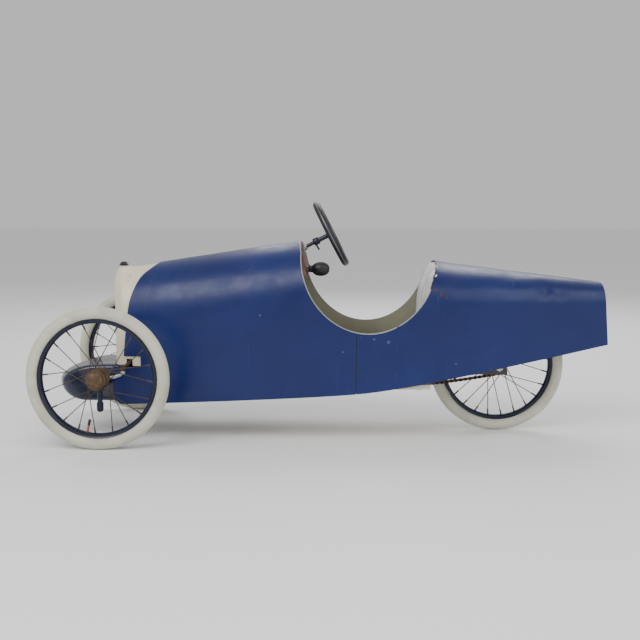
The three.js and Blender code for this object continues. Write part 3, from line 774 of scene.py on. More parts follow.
def swept(name: str, path: Sequence[Point], radius: float, sides: int = 12) -> bpy.types.Object:
    """Makes a round tube along points.

    Args:
        name: The piece's name.
        path: Points in millimetres.
        radius: The tube's radius.
        sides: Steps round the tube.

    Returns:
        The tube.
    """
    rings = []
    spots = [Datum.at(*p) for p in path]
    normal = None
    for i, spot in enumerate(spots):
        before = spots[max(i - 1, 0)]
        after = spots[min(i + 1, len(spots) - 1)]
        along = (after - before).normalized()
        if normal is None:
            normal = along.orthogonal().normalized()
        normal = (normal - along * normal.dot(along)).normalized()
        side = along.cross(normal)
        rings.append([
            spot + (normal * math.cos(2 * math.pi * j / sides)
                    + side * math.sin(2 * math.pi * j / sides)) * radius * MM
            for j in range(sides)
        ])
    return loft(name, rings, smooth=50.0)


def prism(name: str, outline: Sequence[tuple[float, float]], low: float,
          high: float, bevel: float = 0.0) -> bpy.types.Object:
    """Gives an outline in X and Z a thickness along Y.

    Args:
        name: The piece's name.
        outline: (x, z) points in millimetres.
        low: The nearer face's y.
        high: The farther face's y.
        bevel: Size of the rounded edges.

    Returns:
        The prism.
    """
    rings = [[Datum.at(x, y, z) for x, z in outline] for y in (low, high)]
    piece = loft(name, rings)
    if bevel:
        rounding = piece.modifiers.new("bevel", "BEVEL")
        rounding.width = bevel * MM
        rounding.segments = 3
        rounding.limit_method = "ANGLE"
        baked(piece, 40.0)
    return piece


def box(name: str, low: Point, high: Point, bevel: float = 1.0) -> bpy.types.Object:
    """Makes a box with rounded edges between two corners in millimetres."""
    outline = [(low[0], low[2]), (high[0], low[2]), (high[0], high[2]), (low[0], high[2])]
    return prism(name, outline, low[1], high[1], bevel)


def cut(piece: bpy.types.Object, *cutters: bpy.types.Object, smooth: float = 35.0,
        keep: str = "DIFFERENCE") -> bpy.types.Object:
    """Cuts a piece with closed cutters and drops them.

    Args:
        piece: The piece to cut.
        cutters: Closed meshes.
        smooth: Shading angle in degrees.
        keep: The boolean operation.

    Returns:
        The cut piece.
    """
    for cutter in cutters:
        step = piece.modifiers.new("cut", "BOOLEAN")
        step.operation = keep
        step.solver = "EXACT"
        step.object = cutter
        baked(piece, smooth)
        bpy.data.objects.remove(cutter)
    return piece


# ---------------------------------------------------------------------------
# Geometry Nodes: one tree that repeats a piece on points
# ---------------------------------------------------------------------------


class Repeater:
    """A Geometry Nodes tree that puts a pattern piece on every point of a carrier mesh."""

    tree: bpy.types.NodeTree
    sockets: dict[str, str] = {}

    @classmethod
    def build(cls) -> None:
        """Builds the tree: instance on points, realize, set material."""
        tree = bpy.data.node_groups.new("repeat_on_points", "GeometryNodeTree")
        tree.interface.new_socket("Geometry", in_out="INPUT", socket_type="NodeSocketGeometry")
        for label, kind in (
            ("Pattern", "NodeSocketObject"),
            ("Size", "NodeSocketFloat"),
            ("Finish", "NodeSocketMaterial"),
        ):
            socket = tree.interface.new_socket(label, in_out="INPUT", socket_type=kind)
            cls.sockets[label] = socket.identifier
        tree.interface.new_socket("Geometry", in_out="OUTPUT", socket_type="NodeSocketGeometry")
        nodes, links = tree.nodes, tree.links
        source = nodes.new("NodeGroupInput")
        sink = nodes.new("NodeGroupOutput")
        pattern = nodes.new("GeometryNodeObjectInfo")
        pattern.transform_space = "ORIGINAL"
        turn = nodes.new("GeometryNodeInputNamedAttribute")
        turn.data_type = "FLOAT_VECTOR"
        turn.inputs["Name"].default_value = "turn"
        place = nodes.new("GeometryNodeInstanceOnPoints")
        real = nodes.new("GeometryNodeRealizeInstances")
        paint = nodes.new("GeometryNodeSetMaterial")
        links.new(source.outputs["Geometry"], place.inputs["Points"])
        links.new(source.outputs["Pattern"], pattern.inputs["Object"])
        links.new(pattern.outputs["Geometry"], place.inputs["Instance"])
        links.new(turn.outputs["Attribute"], place.inputs["Rotation"])
        links.new(source.outputs["Size"], place.inputs["Scale"])
        links.new(place.outputs["Instances"], real.inputs["Geometry"])
        links.new(real.outputs["Geometry"], paint.inputs["Geometry"])
        links.new(source.outputs["Finish"], paint.inputs["Material"])
        links.new(paint.outputs["Geometry"], sink.inputs["Geometry"])
        cls.tree = tree

    @classmethod
    def run(cls, name: str, pattern: bpy.types.Object, spots: Sequence[tuple[Vector, Euler]],
            finish: str, size: float = 1.0, smooth: float = 35.0) -> bpy.types.Object:
        """Repeats a pattern on spots and returns one plain mesh.

        Args:
            name: The new piece's name.
            pattern: The pattern piece, modelled at the frame's origin; it is dropped.
            spots: Place in metres and turn of each copy.
            finish: The finish's name.
            size: Scale of each copy.
            smooth: Shading angle in degrees.

        Returns:
            The repeated piece.
        """
        mesh = bpy.data.meshes.new(name)
        mesh.from_pydata([tuple(place) for place, _ in spots], [], [])
        turns = mesh.attributes.new("turn", "FLOAT_VECTOR", "POINT")
        for i, (_, turn) in enumerate(spots):
            turns.data[i].vector = (turn.x, turn.y, turn.z)
        piece = bpy.data.objects.new(name, mesh)
        bpy.context.collection.objects.link(piece)
        step = piece.modifiers.new("repeat", "NODES")
        step.node_group = cls.tree
        step[cls.sockets["Pattern"]] = pattern
        step[cls.sockets["Size"]] = size
        step[cls.sockets["Finish"]] = bpy.data.materials[finish_name(finish)]
        baked(piece, None)
        piece.data.shade_smooth()
        piece.data.set_sharp_from_angle(angle=math.radians(smooth))
        bpy.data.objects.remove(pattern)
        return piece


def settle(piece: bpy.types.Object, body: str, slot: str, *nodes: str) -> bpy.types.Object:
    """Rides a finished piece on its body and hides the nodes it stands for.

    Args:
        piece: The finished piece.
        body: The body it rides on.
        slot: The material slot it stands for; not used.
        nodes: CAD nodes it takes the place of.

    Returns:
        The same piece.
    """
    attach(piece, body)
    if nodes:
        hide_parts(*nodes)
    LOG.info("%s rides on %s, %d faces", piece.name, body, len(piece.data.polygons))
    return piece


# ---------------------------------------------------------------------------
# Body
# ---------------------------------------------------------------------------


@dataclass
class BodyLines:
    """The lines of the car body, in millimetres: what every panel follows."""

    half_mid: float = 165.0
    half_nose: float = 118.0
    half_tail: float = 64.0
    ends: tuple[float, float] = (500.0, 1300.0)
    shoulders: tuple[float, float] = (150.0, 60.0)
    corners: tuple[float, float] = (2.1, 2.7)

    def half_width(self, x: float) -> float:
        """Half the body's width at a station.

        Args:
            x: Station along the car.

        Returns:
            The half width.
        """
        if x < 600:
            return self.half_mid - (self.half_mid - self.half_nose) * ((600 - x) / 600) ** 2
        if x < 800:
            return self.half_mid
        return self.half_mid - (self.half_mid - self.half_tail) * ((x - 800) / 500) ** 1.325

    def top(self, x: float) -> float:
        """Height of the hood or the tail's deck at a station.

        Args:
            x: Station along the car.

        Returns:
            The height.
        """
        share = min(1.0, max(0.0, (x - 500) / 340))
        share = share * share * (3 - 2 * share)
        hood = 447 + 0.153 * (x - 72)
        deck = 457 - 0.128 * (x - 850)
        return hood * (1 - share) + deck * share

    def lower(self, x: float) -> float:
        """Height of the sides' lower edge at a station.

        Args:
            x: Station along the car.

        Returns:
            The height.
        """
        front = 86.7 + 0.055 * x
        rear = 0.2 + 0.185 * x
        return (front + rear) / 2 + math.hypot((front - rear) / 2, 4)

    def along(self, x: float, values: tuple[float, float]) -> float:
        """Runs a value evenly between the two end stations."""
        share = (min(max(x, self.ends[0]), self.ends[1]) - self.ends[0])
        return values[0] + (values[1] - values[0]) * share / (self.ends[1] - self.ends[0])

    def ring(self, x: float, inset: float, foot: float, at: float | None = None,
             arc: int = 26) -> list[Vector]:
        """Traces one cross-section.

        Args:
            x: Station the lines are read at.
            inset: How far the section is drawn in.
            foot: Height of the sides' ends.
            at: Station the section is placed at, if it differs.
            arc: Steps over each shoulder.

        Returns:
            The closed section's points.
        """
        half = self.half_width(x) - inset
        top = self.top(x) - inset
        rise = self.along(x, self.shoulders) - inset
        power = 2 / self.along(x, self.corners)
        place = x if at is None else at
        rows = [(half, foot), (half, (foot + top - rise) / 2)]
        for t in steps(0, math.pi / 2, arc):
            rows.append((half * max(0.0, math.cos(t)) ** power,
                         top - rise + rise * math.sin(t) ** power))
        near = [Datum.at(place, -y, z) for y, z in rows]
        return near + [Datum.at(place, y, z) for y, z in reversed(rows[:-1])]

    def side(self, x: float, z: float) -> float:
        """Distance of the skin from the middle at a station and height.

        Args:
            x: Station along the car.
            z: Height above the floor.

        Returns:
            The distance.
        """
        rise = self.along(x, self.shoulders)
        share = min(1.0, max(0.0, (z - self.top(x) + rise) / rise))
        power = self.along(x, self.corners)
        return self.half_width(x) * (1 - share**power) ** (1 / power)

    def deck(self, x: float, y: float) -> float:
        """Height of the skin at a station and distance from the middle.

        Args:
            x: Station along the car.
            y: Distance from the middle.

        Returns:
            The height.
        """
        rise = self.along(x, self.shoulders)
        power = self.along(x, self.corners)
        share = min(1.0, abs(y) / self.half_width(x))
        return self.top(x) - rise + rise * (1 - share**power) ** (1 / power)

    def solid(self, name: str, start: float, stop: float, count: int, inset: float,
              drop: float) -> bpy.types.Object:
        """Lofts a stretch of the body as a closed block."""
        rings = [self.ring(x, inset, self.lower(x) - drop) for x in steps(start, stop, count)]
        return loft(name, rings)


@dataclass
class Shells:
    """The hood, the tail, their seam and the rolled rim of the cockpit.

    A dent is its place, radius and depth in millimetres; corner_turns are where the dark
    binding behind the seat starts and where the scooped deck begins, in radians short of level.
    """

    lines: BodyLines
    seam: float = 638.0
    sheet: float = 2.0
    tail: float = 1302.0
    cockpit: Point = (669.5, 0.0, 480.0)
    bowl: tuple[float, float] = (173.5, 201.0)
    front_lean: float = 25.0
    scoop: float = 12.0
    scoop_half: float = 128.0
    hem: float = 1.5
    seam_gap: float = 1.6
    lean: tuple[tuple[float, float], tuple[float, float]] = ((1284.0, 420.0), (1299.0, 225.0))
    corner_turns: tuple[float, float] = (0.45, 0.277)
    dents: tuple[tuple[Point, float, float], ...] = (
        ((1128, -110, 388), 20, 5.5), ((1160, -108, 378), 16, 4.0), ((1143, -108, 372), 12, -2.5),
        ((905, -105, 432), 40, 3.0), ((1040, -60, 432), 34, 2.4),
    )

    def cockpit_cutter(self) -> bpy.types.Object:
        """Makes the block that opens the body over the seat.

        Returns:
            The block.
        """
        x, _, z = self.cockpit
        reach, depth = self.bowl
        outline = [(x + reach + 3, 620.0)]
        outline += [(x + reach * math.cos(t), z + depth * math.sin(t))
                    for t in steps(0, -math.pi, 72)]
        outline.append((x - reach - self.front_lean, 600.0))
        outline.append((x - reach - self.front_lean, 620.0))
        return prism("cockpit_cutter", outline, -WIDE, WIDE)

    def scoop_cutter(self) -> bpy.types.Object:
        """Makes the block that rounds the deck's edge behind the seat.

        Returns:
            The block.
        """
        edge = [(self.scoop_edge(y), y) for y in steps(-self.scoop_half, self.scoop_half, 40)]
        plan = edge + [(self.cockpit[0], self.scoop_half), (self.cockpit[0], -self.scoop_half)]
        rings = [[Datum.at(x, y, z) for x, y in plan] for z in (425.0, 630.0)]
        return loft("scoop_cutter", rings)

    def scoop_edge(self, y: float) -> float:
        """Station of the deck's edge at a distance from the middle."""
        start = self.cockpit[0] + self.bowl[0] + 3 - 8
        return start + self.scoop * (1 - (y / self.scoop_half) ** 2)

    def nose_cutter(self) -> bpy.types.Object:
        """Makes the block that shapes the hood's front edge and the tie rod notch.

        Returns:
            The block.
        """
        corner = [(36 + 30 * math.cos(t), 118 + 30 * math.sin(t))
                  for t in steps(1.5 * math.pi, math.pi, 14)]
        knots = [(37, 215), (46, 300), (55, 364), (76, 416), (104, 443), (142, 474)]
        edge = through(knots, 48)
        outline = [(-60.0, 60.0), (36.0, 60.0), *corner, (6.0, 187.0), (82.0, 187.0),
                   (82.0, 215.0), *edge, (142.0, 620.0), (-60.0, 620.0)]
        return prism("nose_cutter", outline, -WIDE, WIDE)

    def bowl_point(self, turn: float) -> Point:
        """A point of the cockpit's near edge, in the middle of the sheet.

        Args:
            turn: Angle round the bowl's middle, in radians.

        Returns:
            The point.
        """
        x = self.cockpit[0] + self.bowl[0] * math.cos(turn)
        z = self.cockpit[2] + self.bowl[1] * math.sin(turn)
        return x, self.lines.side(x, z) - 1, z

    def rim_path(self) -> list[Point]:
        """Follows the cockpit's edge from one rear corner round the front to the other.

        Returns:
            Points from corner to corner.
        """
        x0, _, z0 = self.cockpit
        reach = self.bowl[0]
        half: list[Point] = []
        for z in steps(self.lines.top(x0 - reach - 5) - 0.4, z0, 30):
            front = x0 - reach - self.front_lean * (z - z0) / (600 - z0)
            half.append((front, max(0.0, self.lines.side(front, z) - 1), z - 1))
        half[0] = (half[0][0], 0.0, half[0][2])
        half += [self.bowl_point(t) for t in steps(math.pi, 2 * math.pi - self.corner_turns[0], 80)[1:]]
        return [(x, -y, z) for x, y, z in reversed(half[1:])] + half

    def deck_path(self) -> list[Point]:
        """Follows the ragged edge behind the seat from corner to corner.

        Returns:
            Points from corner to corner.
        """
        rng = random.Random(11)
        start, stop = (2 * math.pi - turn for turn in self.corner_turns)
        half = [self.bowl_point(t) for t in steps(start, stop, 12)]
        for y in steps(self.scoop_half - 2, 0, 40):
            x = self.scoop_edge(y)
            half.append((x, y, self.lines.deck(x, y) - 1))
        half = [(x + rng.uniform(-0.9, 0.5), y, z - rng.uniform(0, 0.9)) for x, y, z in half]
        half[-1] = (half[-1][0], 0.0, half[-1][2])
        return half + [(x, -y, z) for x, y, z in reversed(half[:-1])]

    def build(self) -> None:
        """Makes the shells, the seam's backing strip, the rim, the rear binding and the tail plate."""
        lines, sheet = self.lines, self.sheet
        hood = cut(lines.solid("hood_shell", 4, self.seam, 84, 0, 0),
                   lines.solid("hood_inside", -10, self.seam + 10, 84, sheet, 20),
                   self.cockpit_cutter(), self.scoop_cutter(), self.nose_cutter())
        tail = cut(lines.solid("tail_shell", self.seam + self.seam_gap, self.tail, 84, 0, 0),
                   lines.solid("tail_inside", self.seam - 10, self.tail + 10, 84, sheet, 20),
                   self.cockpit_cutter(), self.scoop_cutter(), self.beyond_tail())
        for piece, node in ((hood, "front_body_shell"), (tail, "rear_body_shell")):
            beaten(piece, self.dents)
            dress(piece, "blue_paint")
            line_inside(piece, lines)
            settle(piece, Body.CAR.value, "blue_paint", node)
        strip = cut(lines.solid("seam_strip", self.seam - 9, self.seam + 10, 2, sheet + 0.3, -2),
                    lines.solid("strip_inside", self.seam - 20, self.seam + 20, 2, sheet + 1.6, 20),
                    self.cockpit_cutter())
        # painted shade: the strip behind the seam's gap takes the dark navy instead of the body's blue,
        # so the gap reads as a shaded groove
        dress(strip, "navy_enamel")
        line_inside(strip, lines)
        settle(strip, Body.CAR.value, "blue_paint")
        rim = swept("cockpit_rim", self.rim_path(), self.hem, 10)
        settle(dress(rim, "worn_hem"), Body.CAR.value, "blue_paint")
        binding = swept("edge_binding", self.deck_path(), self.hem + 0.4, 8)
        settle(dress(binding, "black_rubber"), Body.CAR.value, "black_rubber")
        self.panel()

    def beyond_tail(self) -> bpy.types.Object:
        """Makes the block behind the tail's leaning edge.

        Returns:
            The block.
        """
        (top_x, top_z), (low_x, low_z) = self.lean
        outline = [(top_x, top_z), (low_x, low_z), (1400.0, 200.0), (1400.0, 500.0),
                   (1280.0, 480.0)]
        return prism("tail_cutter", outline, -WIDE, WIDE)

    def panel(self) -> None:
        """Makes the plate that closes the tail, a little inside its edge."""
        (top_x, top_z), (low_x, low_z) = self.lean
        slab = prism("tail_plate", [(top_x - 4, top_z), (low_x - 4, low_z), (low_x - 6, low_z),
                                    (top_x - 6, top_z)], -WIDE, WIDE)
        inside = loft("tail_inner", [
            self.lines.ring(x, self.sheet + 0.2, self.lines.lower(x) + 2)
            for x in steps(1240, self.tail, 12)
        ])
        cut(slab, inside, keep="INTERSECT")
        settle(dress(slab, "blue_paint"), Body.CAR.value, "blue_paint", "tail_panel")


def through(knots: Sequence[tuple[float, float]], count: int) -> list[tuple[float, float]]:
    """Runs a smooth Catmull-Rom line through points.

    Args:
        knots: The points.
        count: Steps along the line.

    Returns:
        count + 1 points.
    """
    padded = [knots[0], *knots, knots[-1]]
    spans = len(knots) - 1
    result = []
    for i in range(count + 1):
        s = min(i * spans / count, spans - 1e-6)
        k, f = int(s), s - int(s)
        p = [padded[k + j] for j in range(4)]
        result.append(tuple(
            0.5 * (2 * p[1][a] + (p[2][a] - p[0][a]) * f
                   + (2 * p[0][a] - 5 * p[1][a] + 4 * p[2][a] - p[3][a]) * f * f
                   + (3 * p[1][a] - p[0][a] - 3 * p[2][a] + p[3][a]) * f**3)
            for a in range(2)
        ))
    return result


def beaten(piece: bpy.types.Object, dents: Sequence[tuple[Point, float, float]]) -> None:
    """Gives sheet metal its hand-beaten waves and dents; both faces move together.

    Args:
        piece: The sheet.
        dents: Place, radius and depth of each dent, in millimetres.
    """
    for vertex in piece.data.vertices:
        spot = vertex.co
        wave = noise.noise(Vector((spot.x * 5, spot.y * 2, spot.z * 8))) * 1.1
        wave += noise.noise(Vector((spot.x * 17, spot.y * 3, spot.z * 21))) * 0.35
        side = 1 if spot.y > 0 else -1
        push = 0.0
        for (x, y, z), radius, depth in dents:
            apart = spot - Datum.at(x, y, z)
            gap = Vector((apart.x, apart.y * 0.15, apart.z)).length / (radius * MM)
            push += depth * math.exp(-gap * gap)
        vertex.co.y += side * wave * MM * min(1.0, abs(spot.y) / 0.06)
        if push:
            vertex.co += Vector((0, -side * 0.75, -0.65)) * push * MM


def line_inside(piece: bpy.types.Object, lines: BodyLines) -> None:
    """Paints the faces that look inwards with the cream lining.

    Args:
        piece: The sheet.
        lines: The body's lines, which say what is outside.
    """
    piece.data.materials.append(bpy.data.materials[finish_name("lining")])
    for face in piece.data.polygons:
        x = (face.center.x - Datum.axle_x) / MM
        half = lines.half_width(x) * MM
        radial = Vector((0, face.center.y, max(0.0, face.center.z - (lines.top(x) - 150) * MM)))
        if face.normal.dot(radial) < 0 and abs(face.center.y) < half - 0.8 * MM:
            face.material_index = 1


@dataclass
class Cowl:
    """The cream radiator cowl with its grille, cap and stud."""

    lines: BodyLines
    front: float = -3.5
    bottom: float = 190.0
    corner: float = 22.0
    bow: float = 19.3
    lift: float = 10.0
    opening: tuple[float, float, float] = (66.0, 226.0, 354.0)

    def inset(self, x: float) -> float:
        """How far the front's rounded edge draws in at a station."""
        run = min(max(0.0, self.corner - (x - self.front)), self.corner - 0.6)
        return self.corner - math.sqrt(self.corner**2 - run**2)

    def fade(self, x: float, start: float, stop: float) -> float:
        """Falls smoothly from 1 to 0 between two stations."""
        share = min(1.0, max(0.0, (x - start) / (stop - start)))
        return 1 - share * share * (3 - 2 * share)

    def bowed(self, x: float, y: float) -> float:
        """How far the front's bow carries a point back along the car."""
        return self.bow * (y / 100) ** 2 * self.fade(x, self.front, 66)

    def ring(self, x: float, inset: float, foot: float, shift: float) -> list[Vector]:
        """Traces one section, bowed in plan and raised at the top near the front.

        Args:
            x: Station along the cowl's middle line.
            inset: How far the section is drawn in.
            foot: Height of the sides' ends.
            shift: How far the section is moved back.

        Returns:
            The closed section.
        """
        flat = self.lines.ring(max(x, 0.0), inset, foot)
        result = []
        lift = self.lift * self.fade(x, 0, 60)
        for j, spot in enumerate(flat):
            at = x + self.bowed(x, spot.y / MM)
            moved = self.lines.ring(max(at, 0.0), inset, foot)[j]
            up = 1 - self.fade(moved.z / MM, 290, self.lines.top(0))
            result.append(Vector((Datum.axle_x + (at + shift) * MM, moved.y,
                                  moved.z + lift * up * MM)))
        return result

    def skin(self, name: str, extra: float, shift: float, foot: float) -> bpy.types.Object:
        """Lofts the cowl's outer or inner face as a closed block.

        Args:
            name: The block's name.
            extra: Thickness that the face is drawn in by.
            shift: How far the face is moved back.
            foot: Height of the sides' ends.

        Returns:
            The closed block.
        """
        bend = [self.corner * (1 - math.cos(t)) for t in steps(0, math.pi / 2, 14)]
        rows = [(0.0, inset) for inset in (104, 92, 80, 68, 56, 46, 36, 28)]
        rows += [(d, self.inset(self.front + d)) for d in [*bend, 34, 48, 66, 90, 120, 151.5]]
        rings = []
        for d, inset in rows:
            last = d == 151.5
            rings.append(self.ring(self.front + d, 3.2 + inset + extra, foot,
                                   extra * 4 if last else shift))
        return loft(name, rings)

    def build(self) -> None:
        """Makes the cowl, then what it carries."""
        half, low, high = self.opening
        cowl = cut(self.skin("cowl", 0, 0, self.bottom),
                   self.skin("cowl_inside", 2, 2, self.bottom - 20),
                   self.window("cowl_window", half, low, high, self.front - 5, self.front + 14),
                   box("rod_gap", (44, -220, 150), (60, 220, 208), 0.1))
        settle(dress(cowl, "cream_paint"), Body.CAR.value, "cream_paint", "radiator_cowl")
        self.grille()
        self.cap()
        stud = turned("cowl_stud_piece", [(0, 0), (6, 0), (5.6, 3), (4, 5), (0, 5.4)],
                      (self.front, 0, 410), Vector((-1, 0, 0)), 32)
        settle(dress(stud, "black_rubber"), Body.CAR.value, "black_rubber", "cowl_stud")

    def window(self, name: str, half: float, low: float, high: float, start: float,
               stop: float, radius: float = 12.0) -> bpy.types.Object:
        """Makes a block with rounded corners across the car, seen from the front.

        Args:
            name: The block's name.
            half: Half its width.
            low: Its lower edge.
            high: Its upper edge.
            start: Station of its front.
            stop: Station of its back.
            radius: Radius of its corners.

        Returns:
            The block.
        """
        outline = []
        for cy, cz, turn in ((half, high, 0), (-half, high, 1), (-half, low, 2), (half, low, 3)):
            my = cy - math.copysign(radius, cy)
            mz = cz - radius if cz == high else cz + radius
            for t in steps(turn * math.pi / 2, (turn + 1) * math.pi / 2, 8):
                outline.append((my + radius * math.cos(t), mz + radius * math.sin(t)))
        return loft(name, [[Datum.at(x, y, z) for y, z in outline] for x in (start, stop)])

    def grille(self) -> None:
        """Makes the bowed plate behind the opening, with repeated upright slats."""
        half, low, high = self.opening
        back = self.front + 3.6
        rings = []
        for y in steps(-half - 8, half + 8, 24):
            x = back + self.bowed(self.front, y)
            rings.append([Datum.at(a, y, z) for a, z in ((x, low - 8), (x, high + 8),
                                                         (x + 1, high + 8), (x + 1, low - 8))])
        plate = dress(loft("grille_plate", rings), "dark_paint")
        zero = Datum.origin()
        bar = rod("slat", (zero, 0, 0), (zero, 0, high - low + 12), 1.3, segments=8)
        spots = [(Datum.at(back - 0.6 + self.bowed(self.front, y), y, low - 6), LEVEL)
                 for y in steps(-60, 60, 16)]
        slats = Repeater.run("grille_slats", bar, spots, "dark_paint")
        settle(joined("grille", [plate, slats]), Body.CAR.value, "dark_paint", "grille_panel")

    def cap(self) -> None:
        """Makes the black domed cap on the cowl."""
        top = self.lines.top(16) - 2 + self.lift * 0.75
        profile = [(0, -1), (11, -1), (12, 0), (12.2, 2.6), (11.4, 3.6), (9.6, 4.4), (9, 6.5),
                   (7, 8.3), (4, 9.2), (0, 9.5)]
        piece = turned("filler_cap", profile, (16, 0, top + 0.6),
                       Vector((-math.sin(0.06), 0, math.cos(0.06))), 48)
        settle(dress(piece, "black_rubber"), Body.CAR.value, "black_rubber", "radiator_cap")


@dataclass
class Fairing:
    """The rounded fairing ahead of the front axle."""

    half: float = 100.0
    back: float = 34.0
    low: float = 92.0
    high: float = 188.0
    round: float = 14.0
    sheet: float = 2.0

    def ring(self, y: float, inset: float, back: float) -> list[Vector]:
        """Traces the side outline at a distance from the middle.

        Args:
            y: Distance from the middle.
            inset: Thickness that the outline is drawn in by.
            back: Station where the outline ends.

        Returns:
            The closed outline.
        """
        end = max(0.0, abs(y) - (self.half - self.round))
        shrink = inset + (self.round - math.sqrt(max(0.2, self.round**2 - end**2))) * 0.75
        front = -157 + 29 * (y / 100) ** 2 + shrink
        low, high, middle = self.low + shrink, self.high - shrink, 139
        lower = [(-70 + (-70 - front) * math.cos(t), middle + (middle - low) * math.sin(t))
                 for t in steps(-math.pi / 2, -math.pi, 18)]
        upper = [(-40 + (-40 - front) * math.cos(t), middle + (high - middle) * math.sin(t))
                 for t in steps(math.pi, math.pi / 2, 22)[1:]]
        place = y if inset == 0 else y * 0.978
        outline = [(back, low), *lower, *upper, (back, high + 2)]
        return [Datum.at(x, place, z) for x, z in outline]

    def build(self) -> None:
        """Makes the shell with its rounded ends and the axle's holes."""
        flat = self.half - self.round
        ends = [-flat - self.round * math.sin(t) for t in steps(math.pi / 2, 0, 14)]
        rows = ends + steps(-flat, flat, 12)[1:-1] + [-y for y in reversed(ends)]
        outer = loft("fairing", [self.ring(y, 0, self.back) for y in rows])
        inner = loft("fairing_inside", [self.ring(y, self.sheet, self.back + 16) for y in rows])
        hole = rod("axle_hole", (-8, -120, 150), (-8, 120, 150), 11, segments=40)
        cut(outer, inner, hole)
        settle(dress(outer, "fairing_paint"), Body.CAR.value, "blue_paint", "nose_fairing")


# ---------------------------------------------------------------------------
# Wheels
# ---------------------------------------------------------------------------


@dataclass
class WireWheel:
    """One wheel: tyre, steel rim, tangent spokes, hub and valve."""

    name: str
    body: str
    x: float
    y: float
    spokes: int
    phase: float
    flange: float
    barrel: float
    valve: float
    cap_side: int = 0
    z: float = 178.0
    outer: float = 178.0
    tyre: float = 16.0
    rim_outer: float = 147.9
    rim_inner: float = 137.5
    rim_half: float = 11.0

    @property
    def centre(self) -> Point:
        """The wheel's middle."""
        return (self.x, self.y, self.z)

    def lathe(self, label: str, profile: Sequence[tuple[float, float]], finish: str,
              slot: str, *nodes: str, segments: int = 128) -> bpy.types.Object:
        """Turns a closed profile about the axle and settles it on the wheel."""
        piece = turned(f"{self.name}_{label}", profile, self.centre, ACROSS, segments)
        return settle(dress(piece, finish), self.body, slot, *nodes)

    def build(self) -> None:
        """Makes every piece of the wheel."""
        seat = math.acos((self.rim_outer + 0.3 - (self.outer - self.tyre)) / self.tyre)
        middle = self.outer - self.tyre
        carcass = [(middle + self.tyre * math.cos(t) * self.swell(t), self.tyre * math.sin(t))
                   for t in steps(-seat, seat, 40)]
        tread = self.lathe("tyre_skin", [*carcass, carcass[0]], "tyre_rubber", "tyre",
                           f"{self.name}_tyre", segments=144)
        tread.data.set_sharp_from_angle(angle=math.radians(60))
        inner, edge, half = self.rim_inner, self.rim_outer, self.rim_half
        side = [(inner, 0.0), (inner, 4.0), (inner + 0.8, 6.0), (inner + 3.2, half - 2.6),
                (edge - 3.4, half - 2.4), (edge - 1.6, half - 0.6), (edge, half),
                (edge, half - 2), (inner + 4, 5.0), (inner + 3, 0.0)]
        mirror = [(r, -h) for r, h in reversed(side[:-1])][:-1]
        self.lathe("rim_steel", [*side, *mirror, side[0]], "navy_enamel", "navy_enamel",
                   f"{self.name}_rim")
        self.hub()
        self.lacing()
        self.stem()
        if self.cap_side:
            self.cap()

    def swell(self, t: float) -> float:
        """Marks the tread's two moulding lines with shallow dips.

        Args:
            pad: The pad.
        """
        line = sum(math.exp(-((t - s) / 0.05) ** 2) for s in (-0.62, 0.62))
        return 1 - 0.012 * line

    def hub(self) -> None:
        """Makes the hub shell with its two spoke flanges and locknuts."""
        half, flange = self.barrel, self.flange
        profile = [(5.4, -half), (9, -half), (10, -half + 1), (14, -half + 1), (14, -24),
                   (flange - 1, -24), (flange, -23.2), (flange, -21), (flange - 1, -20.2),
                   (15, -19), (12, -15), (11.4, 0), (12, 15), (15, 19), (flange - 1, 20.2),
                   (flange, 21), (flange, 23.2), (flange - 1, 24), (14, 24), (14, half - 1),
                   (10, half - 1), (9, half), (5.4, half), (5.4, -half)]
        self.lathe("hub_shell", profile, "rusted_steel", "rusted_steel",
                   f"{self.name}_spoked_hub", segments=56)

    def lacing(self) -> None:
        """Repeats a spoke and its nipple on the rim's holes."""
        spokes: list[tuple[Vector, Euler]] = []
        nipples: list[tuple[Vector, Euler]] = []
        length = 0.0
        for i in range(self.spokes):
            angle = math.radians(self.phase + 360 / self.spokes * i)
            lean = math.radians(62) * (-1 if ((i + 1) // 2) % 2 else 1)
            side = 1 if i % 2 else -1
            root = self.flange - 3
            start = Vector((self.x + root * math.cos(angle + lean), self.y + side * 22,
                            self.z + root * math.sin(angle + lean)))
            reach = self.rim_inner + 0.6
            stop = Vector((self.x + reach * math.cos(angle), self.y,
                           self.z + reach * math.sin(angle)))
            along = stop - start
            length = along.length
            turn = along.to_track_quat("Z", "Y").to_euler()
            spokes.append((Datum.at(*start), turn))
            nipples.append((Datum.at(*stop), turn))
        zero = Datum.origin()
        wire = turned("wire", [(0, -2), (1.6, -1.6), (1.15, 0), (1.15, length), (0, length)],
                      (zero, 0, 0), UP, 10)
        nut = turned("nipple", [(0, -15), (1.9, -14.5), (2.1, -13), (2.1, -1.5), (3.2, 0), (0, 1)],
                     (zero, 0, 0), UP, 12)
        laced = Repeater.run(f"{self.name}_spokes", wire, spokes, "spoke_steel")
        ends = Repeater.run(f"{self.name}_nipples", nut, nipples, "dark_paint")
        settle(laced, self.body, "rusted_steel", f"{self.name}_spoked_hub")
        settle(ends, self.body, "rusted_steel")

    def stem(self) -> None:
        """Makes the valve's brass stem, its nut and its black cap, pointing at the hub."""
        angle = math.radians(self.valve)
        inward = Vector((-math.cos(angle), 0, -math.sin(angle)))
        root = Vector(self.centre) - inward * (self.rim_inner + 2)
        brass = [(0, 0), (4.6, 0), (4.6, 3.4), (2.7, 4), (2.7, 21.5), (0, 21.5)]
        cap = [(0, 20), (3.3, 20), (3.4, 20.8), (3.4, 33), (2.6, 34.6), (0, 35)]
        stem = turned(f"{self.name}_stem", brass, tuple(root), inward, 24)
        top = turned(f"{self.name}_cap", cap, tuple(root), inward, 24)
        whole = joined(f"{self.name}_valve_stem", [dress(stem, "brass"),
                                                   dress(top, "black_rubber")])
        settle(whole, self.body, "brass", f"{self.name}_valve")

